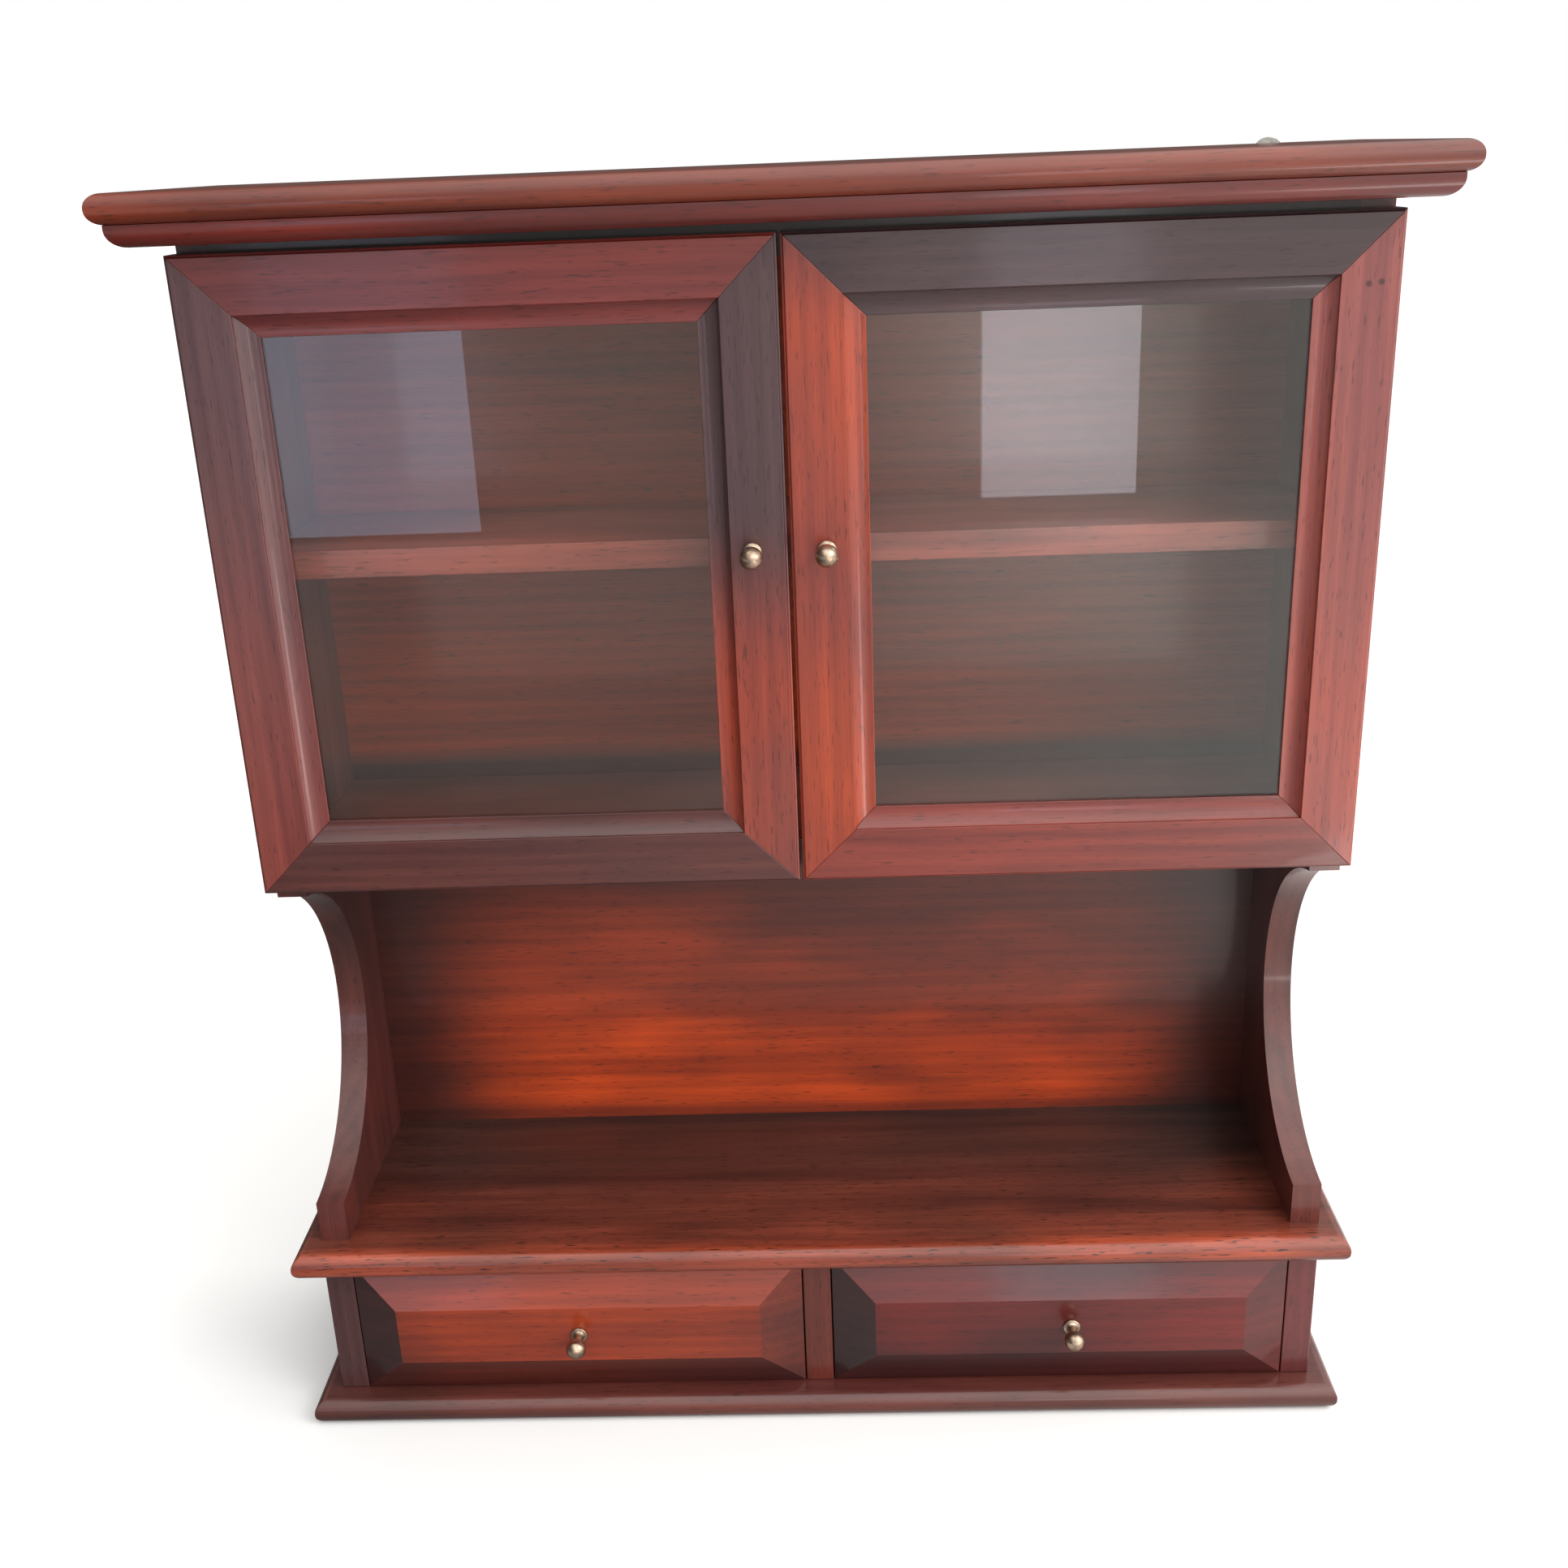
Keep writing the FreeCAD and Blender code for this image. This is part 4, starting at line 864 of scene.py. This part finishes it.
# %% Glass
SMEAR = 60 * MM             # a patch of handling film
PANE_EASE = 0.3 * MM
glass, tree, pane = new_material("float glass, wiped")
pane.inputs["Transmission Weight"].default_value = 1.0
pane.inputs["IOR"].default_value = 1.52
pane.inputs["Roughness"].default_value = 0.0
place = add_node(tree, "ShaderNodeTexCoord").outputs["Object"]
green = blended(tree, noise(tree, place, SMEAR, 4.0, 1.5), linear("#F4FAF7"),
                linear("#ECF4F0"))
tree.links.new(green, pane.inputs["Base Color"])
clear = add_node(tree, "ShaderNodeBsdfTransparent", {"Color": linear("#EEF4F1")})
path = add_node(tree, "ShaderNodeLightPath")
lets_light_in = add_node(tree, "ShaderNodeMixShader",
                         {0: path.outputs["Is Shadow Ray"], 1: pane.outputs[0],
                          2: clear.outputs[0]})
tree.links.new(lets_light_in.outputs[0], tree.nodes["Material Output"].inputs["Surface"])
for side in ("left", "right"):
    node = f"door_{side}_glass"
    finished(eased(welded(f"{node}_pane", node), PANE_EASE, 2), node, glass)
print("two panes")

# %% [markdown]
# ## Metals and plastic
#
# The knobs are turned brass, dulled by handling to a soft brown gold with brighter crowns. The
# hinges are pressed brass with the same age. Screws and strike plates are zinc-plated steel,
# and the catches brown moulded plastic. One recipe serves them all: two tones mixed by noise,
# and roughness that follows the wear.


# %% The metal and plastic recipe
def worn(name, clean, aged, patch, rough, metallic, lift=0.05):
    """A finish of two tones in patches of a real size, rougher where it is aged."""
    material, tree, shader = new_material(name)
    shader.inputs["Metallic"].default_value = metallic
    wear = noise(tree, add_node(tree, "ShaderNodeTexCoord").outputs["Object"], patch, 4.0)
    tone = blended(tree, remapped(tree, wear, 0.35, 0.65), linear(clean), linear(aged))
    tree.links.new(tone, shader.inputs["Base Color"])
    dull = remapped(tree, wear, 0.35, 0.65, rough - 0.07, rough + 0.1)
    tree.links.new(dull, shader.inputs["Roughness"])
    pits = add_node(tree, "ShaderNodeBump",
                    {"Height": wear, "Strength": lift, "Distance": 0.3 * MM})
    tree.links.new(pits.outputs[0], shader.inputs["Normal"])
    return material


knob_brass = worn("turned brass, handled", "#D2B8A0", "#94806E", 3 * MM, 0.3, 1.0)
hinge_brass = worn("pressed brass, aged", "#B5935C", "#76603C", 4 * MM, 0.38, 1.0)
zinc = worn("zinc-plated steel", "#B9B8B2", "#8C8B86", 2 * MM, 0.36, 1.0)
catch_plastic = worn("ABS, moulded brown", "#4A2F20", "#3E271A", 1 * MM, 0.5, 0.0, 0.15)
print("four finishes")

# %% [markdown]
# ## Knobs
#
# A knob is turned on a lathe: a small ball on a thin neck that flares into a coved foot. The
# profile is drawn once from arcs and spun round the knob's axis.

# %% Turned knobs
NECK = 2.2 * MM             # radius of the neck
COVE = 2.1 * MM             # radius of the hollow from the neck to the foot
ROSE = 1.0 * MM             # height of the foot
KNOB_SIDES = 48
BALL_STEPS = 20


def turned(name, profile, base):
    """Spins a profile of (radius, height) about an axis that points to the front."""
    builder = bmesh.new()
    rim = [builder.verts.new((radius, -height, 0)) for radius, height in profile]
    edges = [builder.edges.new(pair) for pair in zip(rim, rim[1:])]
    bmesh.ops.spin(builder, geom=rim + edges, cent=(0, 0, 0), axis=(0, 1, 0),
                   angle=math.tau, steps=KNOB_SIDES)
    bmesh.ops.remove_doubles(builder, verts=builder.verts, dist=0.002 * MM)
    bmesh.ops.recalc_face_normals(builder, faces=builder.faces)
    mesh = bpy.data.meshes.new(name)
    builder.to_mesh(mesh)
    builder.free()
    mesh.transform(Matrix.Translation(base))
    return new_object(name, mesh)


for owner in ("door_left", "door_right", "drawer_left", "drawer_right"):
    node = f"{owner}_knob"
    low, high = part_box(node)
    ball = (high.x - low.x) / 2
    tall = high.y - low.y
    equator = tall - ball
    under = equator - math.sqrt(ball ** 2 - NECK ** 2)
    neck_angle = math.acos(NECK / ball)
    ball_angles = [-neck_angle + (neck_angle + math.pi / 2) * i / BALL_STEPS
                   for i in range(1, BALL_STEPS)]
    ball_points = [(ball * math.cos(a), equator + ball * math.sin(a)) for a in ball_angles]
    profile = ([(0, 0), (NECK + COVE, 0), (NECK + COVE, ROSE)]
               + arc((NECK + COVE, ROSE), (NECK, ROSE + COVE), COVE * QUARTER_BOW, 6)
               + [(NECK, under)] + ball_points + [(0, tall)])
    base = Vector(((low.x + high.x) / 2, high.y, (low.z + high.z) / 2))
    finished(eased(turned(f"{node}_brass", profile, base), 0), node, knob_brass)
print("ball", round(ball * 2, 4), "m across")

# %% [markdown]
# ## Screws
#
# Hinges, hangers and knobs are held by slotted screws. They repeat, so a Geometry Nodes tree
# makes one head with its slot and sets it on every point it is given, each turned by its own
# random angle from a fixed seed, as hand-driven screws are. The points come from the solids of
# the CAD node, one for each screw.

# %% The screw tree
screw_tree, given = new_tree("slotted screws", (
    ("Points", "Geometry"), ("Head radius", "Float"), ("Head height", "Float"),
    ("Under radius", "Float"), ("Shank radius", "Float"), ("Length", "Float"),
    ("Slot width", "Float"), ("Seed", "Int"), ("Finish", "Material")), "Screws")
head = add_node(screw_tree, "GeometryNodeMeshCone",
                {"Vertices": 24, "Radius Top": given["Head radius"],
                 "Radius Bottom": given["Under radius"], "Depth": given["Head height"]})
shank = add_node(screw_tree, "GeometryNodeMeshCylinder",
                 {"Vertices": 12, "Radius": given["Shank radius"], "Depth": given["Length"]})
down = add_node(screw_tree, "ShaderNodeCombineXYZ",
                {"Z": maths(screw_tree, "MULTIPLY", given["Length"], -0.5)})
hung = add_node(screw_tree, "GeometryNodeTransform",
                {"Geometry": shank.outputs["Mesh"], "Translation": down.outputs[0]})
top = add_node(screw_tree, "ShaderNodeCombineXYZ", {"Z": given["Head height"]})
slot_size = add_node(screw_tree, "ShaderNodeCombineXYZ",
                     {"X": maths(screw_tree, "MULTIPLY", given["Head radius"], 3.0),
                      "Y": given["Slot width"], "Z": given["Head height"]})
cutter = add_node(screw_tree, "GeometryNodeMeshCube", {"Size": slot_size.outputs[0]})
raised = add_node(screw_tree, "GeometryNodeTransform",
                  {"Geometry": cutter.outputs["Mesh"], "Translation": top.outputs[0]})
slotted = add_node(screw_tree, "GeometryNodeMeshBoolean",
                   {"Mesh 1": head.outputs["Mesh"], "Mesh 2": raised.outputs[0]},
                   operation="DIFFERENCE", solver="EXACT")
one = joined(screw_tree, slotted.outputs["Mesh"], hung.outputs[0])
turn = add_node(screw_tree, "FunctionNodeRandomValue",
                {"Min": (0, 0, 0), "Max": (0, 0, math.pi), "Seed": given["Seed"]},
                data_type="FLOAT_VECTOR")
spread = add_node(screw_tree, "GeometryNodeInstanceOnPoints",
                  {"Points": given["Points"], "Instance": one,
                   "Rotation": turn.outputs["Value"]})
delivered(screw_tree, spread.outputs[0], given["Finish"])
print("screw tree:", len(screw_tree.nodes), "nodes")


# %% Where the screws are
def solids(node):
    """The lowest and highest corner of each separate solid in a CAD node."""
    builder = bmesh.new()
    builder.from_mesh(frame["nodes"][node].data)
    bmesh.ops.remove_doubles(builder, verts=builder.verts, dist=WELD)
    left, boxes = set(builder.verts), []
    while left:
        queue = [left.pop()]
        found = list(queue)
        while queue:
            for edge in queue.pop().link_edges:
                for vert in edge.verts:
                    if vert in left:
                        left.remove(vert)
                        queue.append(vert)
                        found.append(vert)
        boxes.append(tuple(Vector(pick(v.co[i] for v in found) for i in range(3))
                           for pick in (min, max)))
    builder.free()
    return sorted(boxes, key=lambda box: tuple(round(v, 4) for v in box[0]))

print("solids in the hinge frame screws:", len(solids("hinge_frame_screws")))

# %% Screws
SCREW_EASE = 0.06 * MM
SLOT_SHARE = 0.32           # a slot's width as a share of the head's radius
# head radius, head height, radius under the head, shank radius, seed of the turns
HINGE_SCREW = (1.8 * MM, 0.7 * MM, 0.9 * MM, 0.9 * MM, 3)
HANGER_SCREW = (2.6 * MM, 1.2 * MM, 1.2 * MM, 1.2 * MM, 5)
KNOB_SCREW = (2.6 * MM, 2.0 * MM, 3.0 * MM, 1.5 * MM, 7)


def screws(node, towards, sizes, material, slot):
    """Slotted screws for a node, heads towards -1 (front) or 1 (back) along Y."""
    head_radius, head_high, under_radius, shank_radius, seed = sizes
    boxes = solids(node)
    mesh = bpy.data.meshes.new(f"{node}_set")
    # the tree works in Z-up space: the case's X, and Z turned down into Y
    face = [box[0].y if towards < 0 else box[1].y for box in boxes]
    long = boxes[0][1].y - boxes[0][0].y - head_high
    points = [((low.x + high.x) / 2, -towards * (low.z + high.z) / 2, towards * y - head_high)
              for (low, high), y in zip(boxes, face)]
    mesh.from_pydata(points, [], [])
    thing = new_object(f"{node}_{slot}", mesh)
    set_inputs(thing, screw_tree, {"Head radius": head_radius, "Head height": head_high,
                                   "Under radius": under_radius,
                                   "Shank radius": shank_radius, "Length": long,
                                   "Slot width": head_radius * SLOT_SHARE,
                                   "Seed": seed, "Finish": material})
    eased(thing, SCREW_EASE, 1)
    thing.data.transform(Matrix.Rotation(math.radians(-90 * towards), 4, "X"))
    return finished(thing, node, material)


for node, towards in (("hinge_frame_screws", -1), ("door_left_hinge_screws", 1),
                      ("door_right_hinge_screws", 1)):
    screws(node, towards, HINGE_SCREW, hinge_brass, "aged_brass")
screws("hanger_screws", 1, HANGER_SCREW, zinc, "steel")
for owner in ("door_left", "door_right", "drawer_left", "drawer_right"):
    screws(f"{owner}_knob_screw", 1, KNOB_SCREW, zinc, "steel")
print("screw sets done")

# %% [markdown]
# ## Hinges, hangers and catches
#
# These are small pressed or moulded parts whose shape the CAD model already holds. Each becomes
# an eased copy, with a finer round than the wood's.

# %% Small hardware
HARDWARE = {
    # node: edge round, material, slot
    "hinge_frame_leaves": (0.12 * MM, hinge_brass, "aged_brass"),
    "door_left_hinge_leaves": (0.12 * MM, hinge_brass, "aged_brass"),
    "door_right_hinge_leaves": (0.12 * MM, hinge_brass, "aged_brass"),
    "hinge_pins": (0.3 * MM, hinge_brass, "aged_brass"),
    "hanger_plates": (0.2 * MM, zinc, "steel"),
    "door_left_strike_plate": (0.2 * MM, zinc, "steel"),
    "door_right_strike_plate": (0.2 * MM, zinc, "steel"),
    "shelf_pegs": (0.4 * MM, zinc, "steel"),
    "magnet_catches": (0.9 * MM, catch_plastic, "brown_plastic"),
}
for node, (ease, material, slot) in HARDWARE.items():
    finished(eased(welded(f"{node}_part", node), ease, 2), node, material)

# %% Every node has a piece
left_bare = sorted(set(BODY_OF) - set(made_pieces))
print(len(made_pieces), "pieces; without one:", left_bare)

# %% [markdown]
